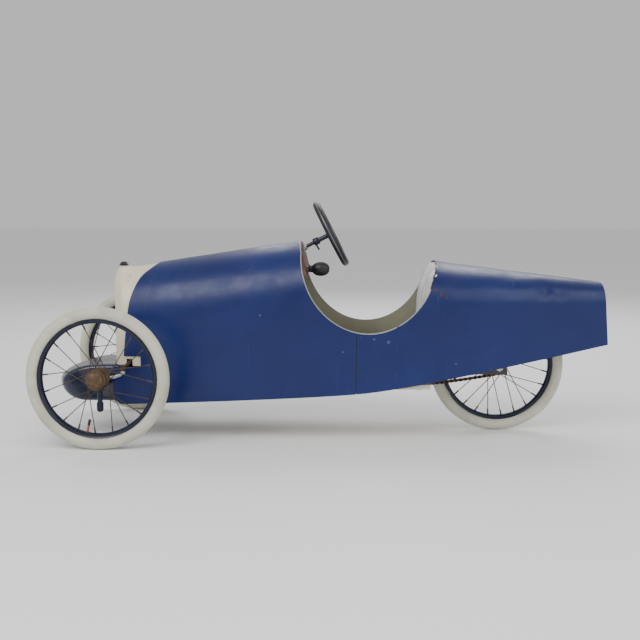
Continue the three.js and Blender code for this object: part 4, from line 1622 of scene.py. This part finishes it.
    def cap(self) -> None:
        """Makes the pressed hub cap with its flange and crown."""
        profile = [(15, 24.4), (24.6, 24.4), (25, 25.4), (24.6, 26.4), (21.8, 26.8), (21.3, 28),
                   (21.3, 31.6), (20.6, 34), (18.4, 36.6), (14, 38.2), (8, 39.4), (0, 40),
                   (0, 36), (14, 34.6), (15, 24.4)]
        piece = turned(f"{self.name}_hub_cap_shell", profile, self.centre,
                       Vector((0, self.cap_side, 0)), 64)
        settle(dress(piece, "cap_rust"), self.body, "rusted_steel", f"{self.name}_hub_cap")


# ---------------------------------------------------------------------------
# Steering, drive and trim
# ---------------------------------------------------------------------------


@dataclass
class Steering:
    """The steering wheel, its column and clamp."""

    hub: Point = (572.0, 0.0, 528.0)
    lean: float = 27.0
    length: float = 614.6

    @property
    def axis(self) -> Vector:
        """The column's direction, up towards the driver."""
        turn = math.radians(self.lean)
        return Vector((math.cos(turn), 0, math.sin(turn)))

    def down(self, back: float) -> Point:
        """A point on the column this far below the wheel's middle."""
        return tuple(Vector(self.hub) - self.axis * back)

    def build(self) -> None:
        """Makes the wheel, the column and the clamp."""
        self.wheel()
        lower = rod("column_lower", self.down(self.length - 9), self.down(44), 5)
        upper = rod("column_upper", self.down(46), self.down(2), 6.5)
        column = joined("column_tube", [dress(lower, "navy_enamel"), dress(upper, "navy_enamel")])
        settle(column, Body.STEERING.value, "navy_enamel", "steering_column")
        self.clamp()

    def wheel(self) -> None:
        """Makes the rim, four spokes, the boss, and the thin line round the rim."""
        ring = [(85.5 + 9.3 * math.cos(t), 9.3 * math.sin(t)) for t in steps(0, 2 * math.pi, 28)]
        grip = dress(turned("wheel_grip", ring, self.hub, self.axis, 120, 50), "black_rubber")
        band = [(94.4, -1.4), (95.2, -1.1), (95.2, 1.1), (94.4, 1.4), (94.4, -1.4)]
        line = dress(turned("wheel_line", band, self.hub, self.axis, 120, 50), "line_paint")
        turn = self.axis.to_track_quat("Z", "Y")
        arms = []
        for i in range(4):
            angle = math.pi / 2 * i + math.pi / 4
            end = Vector(self.hub) + turn @ Vector((79 * math.cos(angle), 79 * math.sin(angle), 0))
            start = Vector(self.hub) - self.axis * 3
            arms.append(dress(rod(f"wheel_arm_{i}", tuple(start), tuple(end), 5.4, 4.4),
                              "black_rubber"))
        boss = turned("wheel_boss", [(6.6, -10), (17, -10), (19, -7), (19, 5), (16, 8), (6, 9.5),
                                     (0, 9.8), (0, 3), (6.6, 3), (6.6, -10)],
                      self.hub, self.axis, 48)
        whole = joined("wheel_whole", [grip, line, *arms, dress(boss, "black_rubber")])
        settle(whole, Body.STEERING.value, "black_rubber", "steering_wheel")

    def clamp(self) -> None:
        """Makes the clamp's collar and hooked lever."""
        at = self.down(45)
        collar = turned("clamp_collar", [(6.7, 0), (9.4, 0), (10, 1), (10, 15), (9.4, 16),
                                         (6.7, 16), (6.7, 0)], self.down(52), self.axis, 40)
        lever = swept("clamp_lever", [(at[0] + 1, -7, at[2] - 7), (at[0] + 4, -9, at[2] - 13),
                                      (at[0] + 7, -9, at[2] - 18), (at[0] + 10, -9, at[2] - 21)],
                      2.4)
        whole = joined("clamp", [dress(collar, "navy_enamel"), dress(lever, "navy_enamel")])
        settle(whole, Body.STEERING.value, "navy_enamel", "column_clamp")


@dataclass
class ChainDrive:
    """The roller chain and the two toothed sprockets."""

    front: Point = (230.0, -32.0, 198.0)
    rear: Point = (1017.5, -32.0, 178.0)
    pitch: float = 12.7
    teeth: tuple[int, int] = (24, 10)
    radii: tuple[float, float] = (48.66, 20.55)
    sag: float = 36.0

    def path(self, upper: bool) -> list[Vector]:
        """Follows one run of the chain, over the front sprocket first.

        Args:
            upper: True for the top run.

        Returns:
            Closely spaced points of the run's middle line.
        """
        sign = 1 if upper else -1
        big, small = self.radii
        lead = [(self.front[0] + big * math.cos(t), self.front[2] + sign * big * math.sin(t))
                for t in steps(math.pi, math.pi / 2, 30)]
        tail = [(self.rear[0] + small * math.cos(t), self.rear[2] + sign * small * math.sin(t))
                for t in steps(math.pi / 2, 0.06, 20)]
        (ax, az), (bx, bz) = lead[-1], tail[0]
        hang = 0.0 if upper else self.sag
        span = [(ax + (bx - ax) * s, az + (bz - az) * s - 4 * hang * s * (1 - s))
                for s in steps(0, 1, 80)[1:-1]]
        return [Vector((x, self.front[1], z)) for x, z in [*lead, *span, *tail]]

    def run(self, upper: bool) -> None:
        """Repeats links along one run: rollers on every pin, plates outside and inside in turn.

        Args:
            upper: True for the top run.
        """
        line = self.path(upper)
        stops, travel, target = [], 0.0, self.pitch / 2
        for a, b in zip(line, line[1:]):
            step = (b - a).length
            while travel + step >= target:
                stops.append(a.lerp(b, (target - travel) / step))
                target += self.pitch
            travel += step
        pairs: tuple[list, list] = ([], [])
        pins = []
        for i, (a, b) in enumerate(zip(stops, stops[1:])):
            turn = Euler((0, -math.atan2(b.z - a.z, b.x - a.x), 0))
            pairs[i % 2].append((Datum.at(*a), turn))
            pins.append((Datum.at(*a), turn))
        parts = []
        for label, spots, offset in (("outer", pairs[0], 3.1), ("inner", pairs[1], 2.1)):
            parts.append(Repeater.run(f"chain_{label}", self.plates(offset), spots,
                                      "chain_steel"))
        zero = Datum.origin()
        roller = rod("roller", (zero, -3.6, 0), (zero, 3.6, 0), 3.1, chamfer=0.4, segments=12)
        parts.append(Repeater.run("chain_rollers", roller, pins, "chain_steel"))
        name = "chain_upper" if upper else "chain_lower"
        settle(joined(name, parts), Body.CAR.value, "rusted_steel", f"{name}_run")

    def plates(self, offset: float) -> bpy.types.Object:
        """Makes a pair of waisted link plates from one pin to the next, at the frame's origin.

        Args:
            offset: Distance of each plate from the chain's middle.

        Returns:
            Both plates as one pattern.
        """
        zero = Datum.origin()
        outline = []
        for t in steps(-math.pi / 2, -3 * math.pi / 2, 8):
            outline.append((zero + 4.2 * math.cos(t), 4.2 * math.sin(t)))
        outline.append((zero + self.pitch / 2, 2.9))
        for t in steps(math.pi / 2, -math.pi / 2, 8):
            outline.append((zero + self.pitch + 4.2 * math.cos(t), 4.2 * math.sin(t)))
        outline.append((zero + self.pitch / 2, -2.9))
        pair = [prism(f"plate_{side}", outline, side * offset - 0.5, side * offset + 0.5)
                for side in (-1, 1)]
        return joined("link_plates", pair)

    def sprocket(self, name: str, centre: Point, radius: float, teeth: int, bore: float,
                 body: Body, node: str) -> None:
        """Makes a toothed disc: a plate and a repeated tooth.

        Args:
            name: The piece's name.
            centre: Middle of the disc.
            radius: Pitch radius.
            teeth: How many teeth.
            bore: Radius of the disc's hole.
            body: The body it turns with.
            node: CAD node it takes the place of.
        """
        root = radius - 4.2
        profile = [(bore, -1.6), (root, -1.6), (root, 1.6), (bore, 1.6), (bore, -1.6)]
        disc = dress(turned(f"{name}_disc", profile, centre, ACROSS, 72),
                     "rusted_steel")
        zero = Datum.origin()
        tooth = prism("tooth", [(zero - 3.2, -1), (zero - 2.2, 2), (zero - 0.9, 5.6),
                                (zero + 0.9, 5.6), (zero + 2.2, 2), (zero + 3.2, -1)], -1.4, 1.4)
        spots = []
        for i in range(teeth):
            turn = 2 * math.pi * i / teeth
            place = Datum.at(centre[0] + root * math.sin(turn), centre[1],
                             centre[2] + root * math.cos(turn))
            spots.append((place, Euler((0, turn, 0))))
        ring = Repeater.run(f"{name}_teeth", tooth, spots, "rusted_steel")
        settle(joined(name, [disc, ring]), body.value, "rusted_steel", node)

    def build(self) -> None:
        """Makes both runs and both sprockets."""
        self.run(True)
        self.run(False)
        self.sprocket("front_sprocket", self.front, self.radii[0], self.teeth[0], 8.4,
                      Body.CRANKSET, "chainwheel")
        self.sprocket("wheel_sprocket", self.rear, self.radii[1], self.teeth[1], 5.4,
                      Body.REAR_WHEEL, "rear_sprocket")


@dataclass
class Dashboard:
    """The leaning wooden dashboard with its bolts and bulb horn."""

    lines: BodyLines
    top: tuple[float, float] = (482.0, 507.0)
    low: tuple[float, float] = (503.0, 424.0)
    thick: float = 9.0
    horn: tuple[float, float] = (-62.0, 438.0)
    bulb_x: float = 546.0
    bolt: tuple[float, float] = (96.0, 433.0)

    def build(self, steering: Steering) -> None:
        """Makes the board with its holes, then what is fixed to it.

        Args:
            steering: The steering, whose column passes through.
        """
        (tx, tz), (lx, lz) = self.top, self.low
        board = self.lines.solid("dashboard_board", 470, 540, 24, 3.2, 0)
        slab = prism("dash_slab", [(lx, lz), (lx + self.thick, lz), (tx + self.thick, tz + 20),
                                   (tx - 4, tz + 20)], -170, 170)
        y, z = self.horn
        cut(board, slab, keep="INTERSECT")
        cut(board, rod("column_hole", steering.down(120), steering.down(40), 10, segments=40),
            rod("horn_hole", (470, y, z), (540, y, z), 7.4, segments=40))
        settle(dress(board, "board_wood"), Body.CAR.value, "wood", "dashboard")
        bolt_y, bolt_z = self.bolt
        face = lx + self.thick - (lx - tx) * (bolt_z - lz) / (tz + 20 - lz)
        for side, label in ((-1, "left"), (1, "right")):
            dome = turned(f"dash_bolt_head_{label}",
                          [(0, 0.1), (9, 0.1), (9, 1.4), (7, 1.8), (6.4, 3.4), (4, 4.6), (0, 5)],
                          (face, side * bolt_y, bolt_z), ALONG, 28)
            settle(dress(dome, "cap_rust"), Body.CAR.value, "rusted_steel", f"dash_bolt_{label}")
        self.horn_pieces()

    def horn_pieces(self) -> None:
        """Makes the horn's rubber bulb, dark painted neck and brass trumpet."""
        y, z = self.horn
        bulb = [(0, -32), (8, -32), (8.6, -31), (8.6, -24)]
        bulb += [(18.5 * math.sin(t) ** 0.8, -23 * math.cos(t)) for t in steps(0.5, math.pi, 30)]
        piece = turned("horn_bulb_skin", bulb, (self.bulb_x, y, z), ALONG, 56)
        settle(dress(piece, "black_rubber"), Body.CAR.value, "black_rubber", "horn_bulb")
        neck = turned("horn_neck_tube", [(0, -28), (5, -28), (7, 0), (7, 25.5), (0, 25.5)],
                      (488, y, z), ALONG, 40)
        settle(dress(neck, "dark_paint"), Body.CAR.value, "dark_paint", "horn_neck")
        outer = through([(0, 0), (5.5, 0), (7, -30), (12, -62), (20, -84), (31, -98)], 30)
        inner = [(max(0.0, r - 1.5), h - 0.6) for r, h in reversed(outer[8:])]
        bell = turned("horn_bell", [*outer, *inner, (0, -27)], (459.5, y, z),
                      ALONG, 56)
        settle(dress(bell, "brass"), Body.CAR.value, "brass", "horn_trumpet")


@dataclass
class AxleEnd:
    """One end of the front axle: kingpin post, knuckle with stub axle and steering arm."""

    side: int
    label: str
    pin: tuple[float, float] = (-8.0, 200.0)

    def at(self, x: float, y: float, z: float) -> Point:
        """A point counted outwards from the kingpin's Y."""
        return (x, self.side * (self.pin[1] + y), z)

    def build(self) -> None:
        """Makes the post with its domed foot, and the knuckle."""
        x = self.pin[0]
        post = turned(f"{self.label}_post", [
            (0, 83.9), (3.5, 84.3), (6.4, 86), (8.2, 88.6), (8.6, 91), (8.6, 107), (7.8, 108.6),
            (6.3, 109.4), (6.3, 139), (9, 140), (9, 160), (6.3, 161), (6.25, 164.5), (5, 164.6),
            (5, 197.4), (4.4, 198), (0, 198)], self.at(x, 0, 0), UP, 40)
        settle(dress(post, "navy_enamel"), Body.CAR.value, "navy_enamel",
               f"{self.label}_kingpin")
        sleeve = turned("sleeve", [(5.4, 165), (11, 165), (12, 166), (12, 190), (11, 191),
                                   (5.4, 191), (5.4, 165)], self.at(x, 0, 0), UP, 40)
        stub = rod("stub", self.at(0, 6, 178), self.at(0, 82, 178), 5)
        nut = turned("nut", [(0, 0), (9, 0), (9, 5), (8, 5.8), (0, 5.8)],
                     self.at(0, 78, 178), Vector((0, self.side, 0)), 6, 20)
        arm = swept("arm", [self.at(x + 4, 0, 170), self.at(14, 0, 171), self.at(32, 0, 174),
                            self.at(43, 0, 178), self.at(48, 0, 182), self.at(52, 0, 186)], 4.2)
        ball = turned("ball", [(6 * math.sin(t), 6 * math.cos(t)) for t in steps(0, math.pi, 16)],
                      self.at(52, 0, 185), UP, 28)
        whole = joined(f"{self.label}_knuckle_forging",
                       [dress(p, "bare_steel") for p in (sleeve, stub, nut, arm, ball)])
        settle(whole, f"{self.label}_knuckle", "bare_steel", f"{self.label}_knuckle")


def axle_beam() -> None:
    """Makes the front axle's tube with its rounded ends."""
    beam = turned("axle_tube", [(0, -193), (9, -193), (10, -192), (10, 192), (9, 193), (0, 193)],
                  (-8, 0, 150), ACROSS, 40)
    settle(dress(beam, "navy_enamel"), Body.CAR.value, "navy_enamel", "front_axle_beam")


# ---------------------------------------------------------------------------
# Upholstery
# ---------------------------------------------------------------------------


@dataclass
class Cushion:
    """A stuffed pad blown up by a cloth simulation inside its cover."""

    name: str
    node: str
    shape: Callable[[], bpy.types.Object]
    voxel: float = 5.0
    pressure: float = 4.0
    cap: float = 9.0
    shrink: float = 0.02
    fill: float = 0.6
    pleats: int = 0
    pleat_depth: float = 2.6

    def build(self) -> bpy.types.Object:
        """Simulates the pad and settles it on the car.

        Returns:
            The finished pad.
        """
        pad = self.shape()
        pad.name = self.name
        self.remesh(pad)
        self.swell(pad)
        if self.pleats:
            pleat(pad, self.pleat_depth, self.pleats)
        finer = pad.modifiers.new("finer", "SUBSURF")
        finer.levels = finer.render_levels = 1
        baked(pad, 60.0)
        dress(pad, "upholstery")
        return settle(pad, Body.CAR.value, "upholstery", self.node)

    def remesh(self, pad: bpy.types.Object) -> None:
        """Gives the pad an even skin.

        Args:
            pad: The pad.
        """
        even = pad.modifiers.new("even", "REMESH")
        even.mode = "VOXEL"
        even.voxel_size = self.voxel * MM
        baked(pad, 60.0)

    def swell(self, pad: bpy.types.Object) -> None:
        """Runs the cloth simulation and caps how far each point moves.

        Args:
            pad: The pad.
        """
        before = [v.co.copy() for v in pad.data.vertices]
        cloth = pad.modifiers.new("cloth", "CLOTH")
        cloth.settings.quality = 6
        cloth.settings.mass = 0.25
        cloth.settings.use_pressure = True
        cloth.settings.uniform_pressure_force = self.pressure
        cloth.settings.shrink_min = -self.shrink
        cloth.settings.effector_weights.gravity = 0.0
        cloth.settings.tension_stiffness = 12.0
        cloth.settings.bending_stiffness = 0.4
        scene = bpy.context.scene
        for frame in range(1, 21):
            scene.frame_set(frame)
        baked(pad, None)
        scene.frame_set(1)
        limit = self.cap * MM
        for vertex, start in zip(pad.data.vertices, before):
            move = vertex.co - start
            if move.length > limit:
                vertex.co = start + move.normalized() * limit


def pleat(pad: bpy.types.Object, depth: float, count: int, width: float = 0.29) -> None:
    """Presses shallow upright wrinkles into a pad that has been blown up.

    Args:
        pad: The pad.
        depth: Depth of the wrinkles in millimetres.
        count: Wrinkles across the width.
        width: Width that the wrinkles are spread over, in metres.
    """
    for vertex in pad.data.vertices:
        x, y, z = vertex.co
        turn = y / (width / count) * 2 * math.pi
        wave = math.sin(turn + 2.2 * noise.noise(Vector((y * 9, 0, z * 7))))
        wave += 0.9 * noise.noise(Vector((y * 60, 3, z * 9)))
        vertex.co.x += wave * depth * MM


def back_pad_shape() -> bpy.types.Object:
    """Models the back rest: a leaning pad with a crowned top.

    Returns:
        The plain block before it is blown up.
    """
    front = through([(806, 258), (812, 313), (815, 356), (820, 385), (829, 412), (840, 441),
                     (847, 458)], 30)
    back = through([(850, 456), (846, 440), (838, 404), (832, 356), (826, 300), (824, 260)], 24)
    rings = []
    for y in steps(-138, 138, 56):
        top = 464 - 52 * (abs(y) / 150) ** 2.6
        squeeze = 1 - 0.45 * (abs(y) / 138) ** 6
        rings.append([
            Datum.at(836 + (x - 836) * squeeze, y, min(z, top - (465 - z) * 0.04))
            for x, z in front + back
        ])
    return loft("back_pad_block", rings)


def cushion_shape() -> bpy.types.Object:
    """Models the seat cushion: a flat-bottomed pad with soft edges."""
    return box("cushion_block", (638, -119, 235.4), (777, 119, 241.2), 2.4)


def tacks() -> None:
    """Repeats the dark tacks along the edge of the back rest's cover."""
    zero = Datum.origin()
    tack = turned("tack", [(0, 0), (2.6, 0), (2.2, 0.9), (1.2, 1.5), (0, 1.7)], (zero, 0, 0),
                  ALONG, 12)
    spots = [(Datum.at(848.3, y, 399), LEVEL) for y in steps(-118, 118, 18)]
    row = Repeater.run("back_rest_tacks", tack, spots, "cap_rust")
    settle(row, Body.CAR.value, "rusted_steel")


# ---------------------------------------------------------------------------
# Scene
# ---------------------------------------------------------------------------


def repaint(record: dict) -> None:
    """Gives every CAD node that is still shown a procedural finish from its slot.

    Args:
        record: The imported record.
    """
    named = {finish.slot: finish.name for finish in reversed(FINISHES)}
    for part in record["subparts"]:
        node = bpy.data.objects.get(part["node"])
        if node is None or node.hide_render:
            continue
        material = bpy.data.materials[finish_name(named[part["material_slot"]])]
        for index in range(len(node.material_slots)):
            node.material_slots[index].link = "OBJECT"
            node.material_slots[index].material = material


@dataclass
class Studio:
    """The pale floor, the soft lamps and the camera."""

    eye: Point = (0.0406, -2.6214, 0.589)
    tilt: tuple[float, float, float] = (83.64, 0.0, 1.31)
    lens: float = 55.1
    floor_half: float = 30.0
    floor_colour: Point = (0.9, 0.9, 0.9)
    sky: float = 0.62
    aim: Point = (0.0, 0.0, 0.2)
    lamps: tuple[tuple[str, Point, float, float], ...] = (
        ("key", (-1.6, -2.6, 3.0), 2.2, 95.0),
        ("fill", (2.4, -2.0, 2.0), 2.5, 40.0),
        ("back", (0.4, 2.6, 2.6), 2.5, 60.0),
    )

    def lamp(self, name: str, place: Point, size: float, power: float) -> None:
        """Hangs one square soft lamp.

        Args:
            name: The lamp's name.
            place: Where it hangs, in metres.
            size: Side of its square.
            power: Its power in watts.
        """
        data = bpy.data.lights.new(name, "AREA")
        data.size = size
        data.energy = power
        lamp = bpy.data.objects.new(name, data)
        bpy.context.collection.objects.link(lamp)
        lamp.location = place
        lamp.rotation_euler = (Vector(self.aim) - Vector(place)).to_track_quat("-Z", "Y").to_euler()

    def build(self) -> None:
        """Sets the floor, the light and the camera."""
        mesh = bpy.data.meshes.new("floor")
        far = self.floor_half
        mesh.from_pydata([(-far, -far, 0), (far, -far, 0), (far, far, 0), (-far, far, 0)], [],
                         [(0, 1, 2, 3)])
        floor = bpy.data.objects.new("floor", mesh)
        bpy.context.collection.objects.link(floor)
        ground = bpy.data.materials.new("floor")
        ground.use_nodes = True
        surface = ground.node_tree.nodes["Principled BSDF"]
        surface.inputs["Base Color"].default_value = (*self.floor_colour, 1)
        surface.inputs["Roughness"].default_value = 0.7
        mesh.materials.append(ground)
        world = bpy.data.worlds.new("studio")
        bpy.context.scene.world = world
        world.use_nodes = True
        backdrop = world.node_tree.nodes["Background"]
        backdrop.inputs["Color"].default_value = (1, 1, 1, 1)
        backdrop.inputs["Strength"].default_value = self.sky
        for name, place, size, power in self.lamps:
            self.lamp(name, place, size, power)
        camera = bpy.data.cameras.new("camera")
        camera.lens = self.lens
        camera.sensor_width = 36
        viewer = bpy.data.objects.new("camera", camera)
        bpy.context.collection.objects.link(viewer)
        viewer.location = self.eye
        viewer.rotation_euler = tuple(math.radians(a) for a in self.tilt)
        bpy.context.scene.camera = viewer


def main() -> None:
    """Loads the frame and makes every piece."""
    logging.basicConfig(level=logging.INFO, format="%(message)s")
    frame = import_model()
    Datum.read()
    for group in (blotch_group, spot_group, scratch_group, grain_group):
        group()
    for finish in FINISHES:
        finish.build()
    Repeater.build()
    Studio().build()
    lines = BodyLines()
    Shells(lines).build()
    Cowl(lines).build()
    Fairing().build()
    for side, label in ((-1, "left"), (1, "right")):
        WireWheel(label, f"{label}_wheel", 0, side * 250, 20, 14.3, 25, 27, 258, side).build()
        AxleEnd(side, label).build()
    WireWheel("rear", Body.REAR_WHEEL.value, 1017.5, 0, 24, 6.6, 23, 26, 62).build()
    steering = Steering()
    steering.build()
    ChainDrive().build()
    Dashboard(lines).build(steering)
    axle_beam()
    Cushion("back_rest", "seat_back_pad", back_pad_shape, voxel=4.0, cap=4, pleats=9).build()
    Cushion("seat_pad", "seat_cushion", cushion_shape, voxel=3.0, cap=2.5).build()
    tacks()
    repaint(frame["record"])


if __name__ == "__main__":
    main()
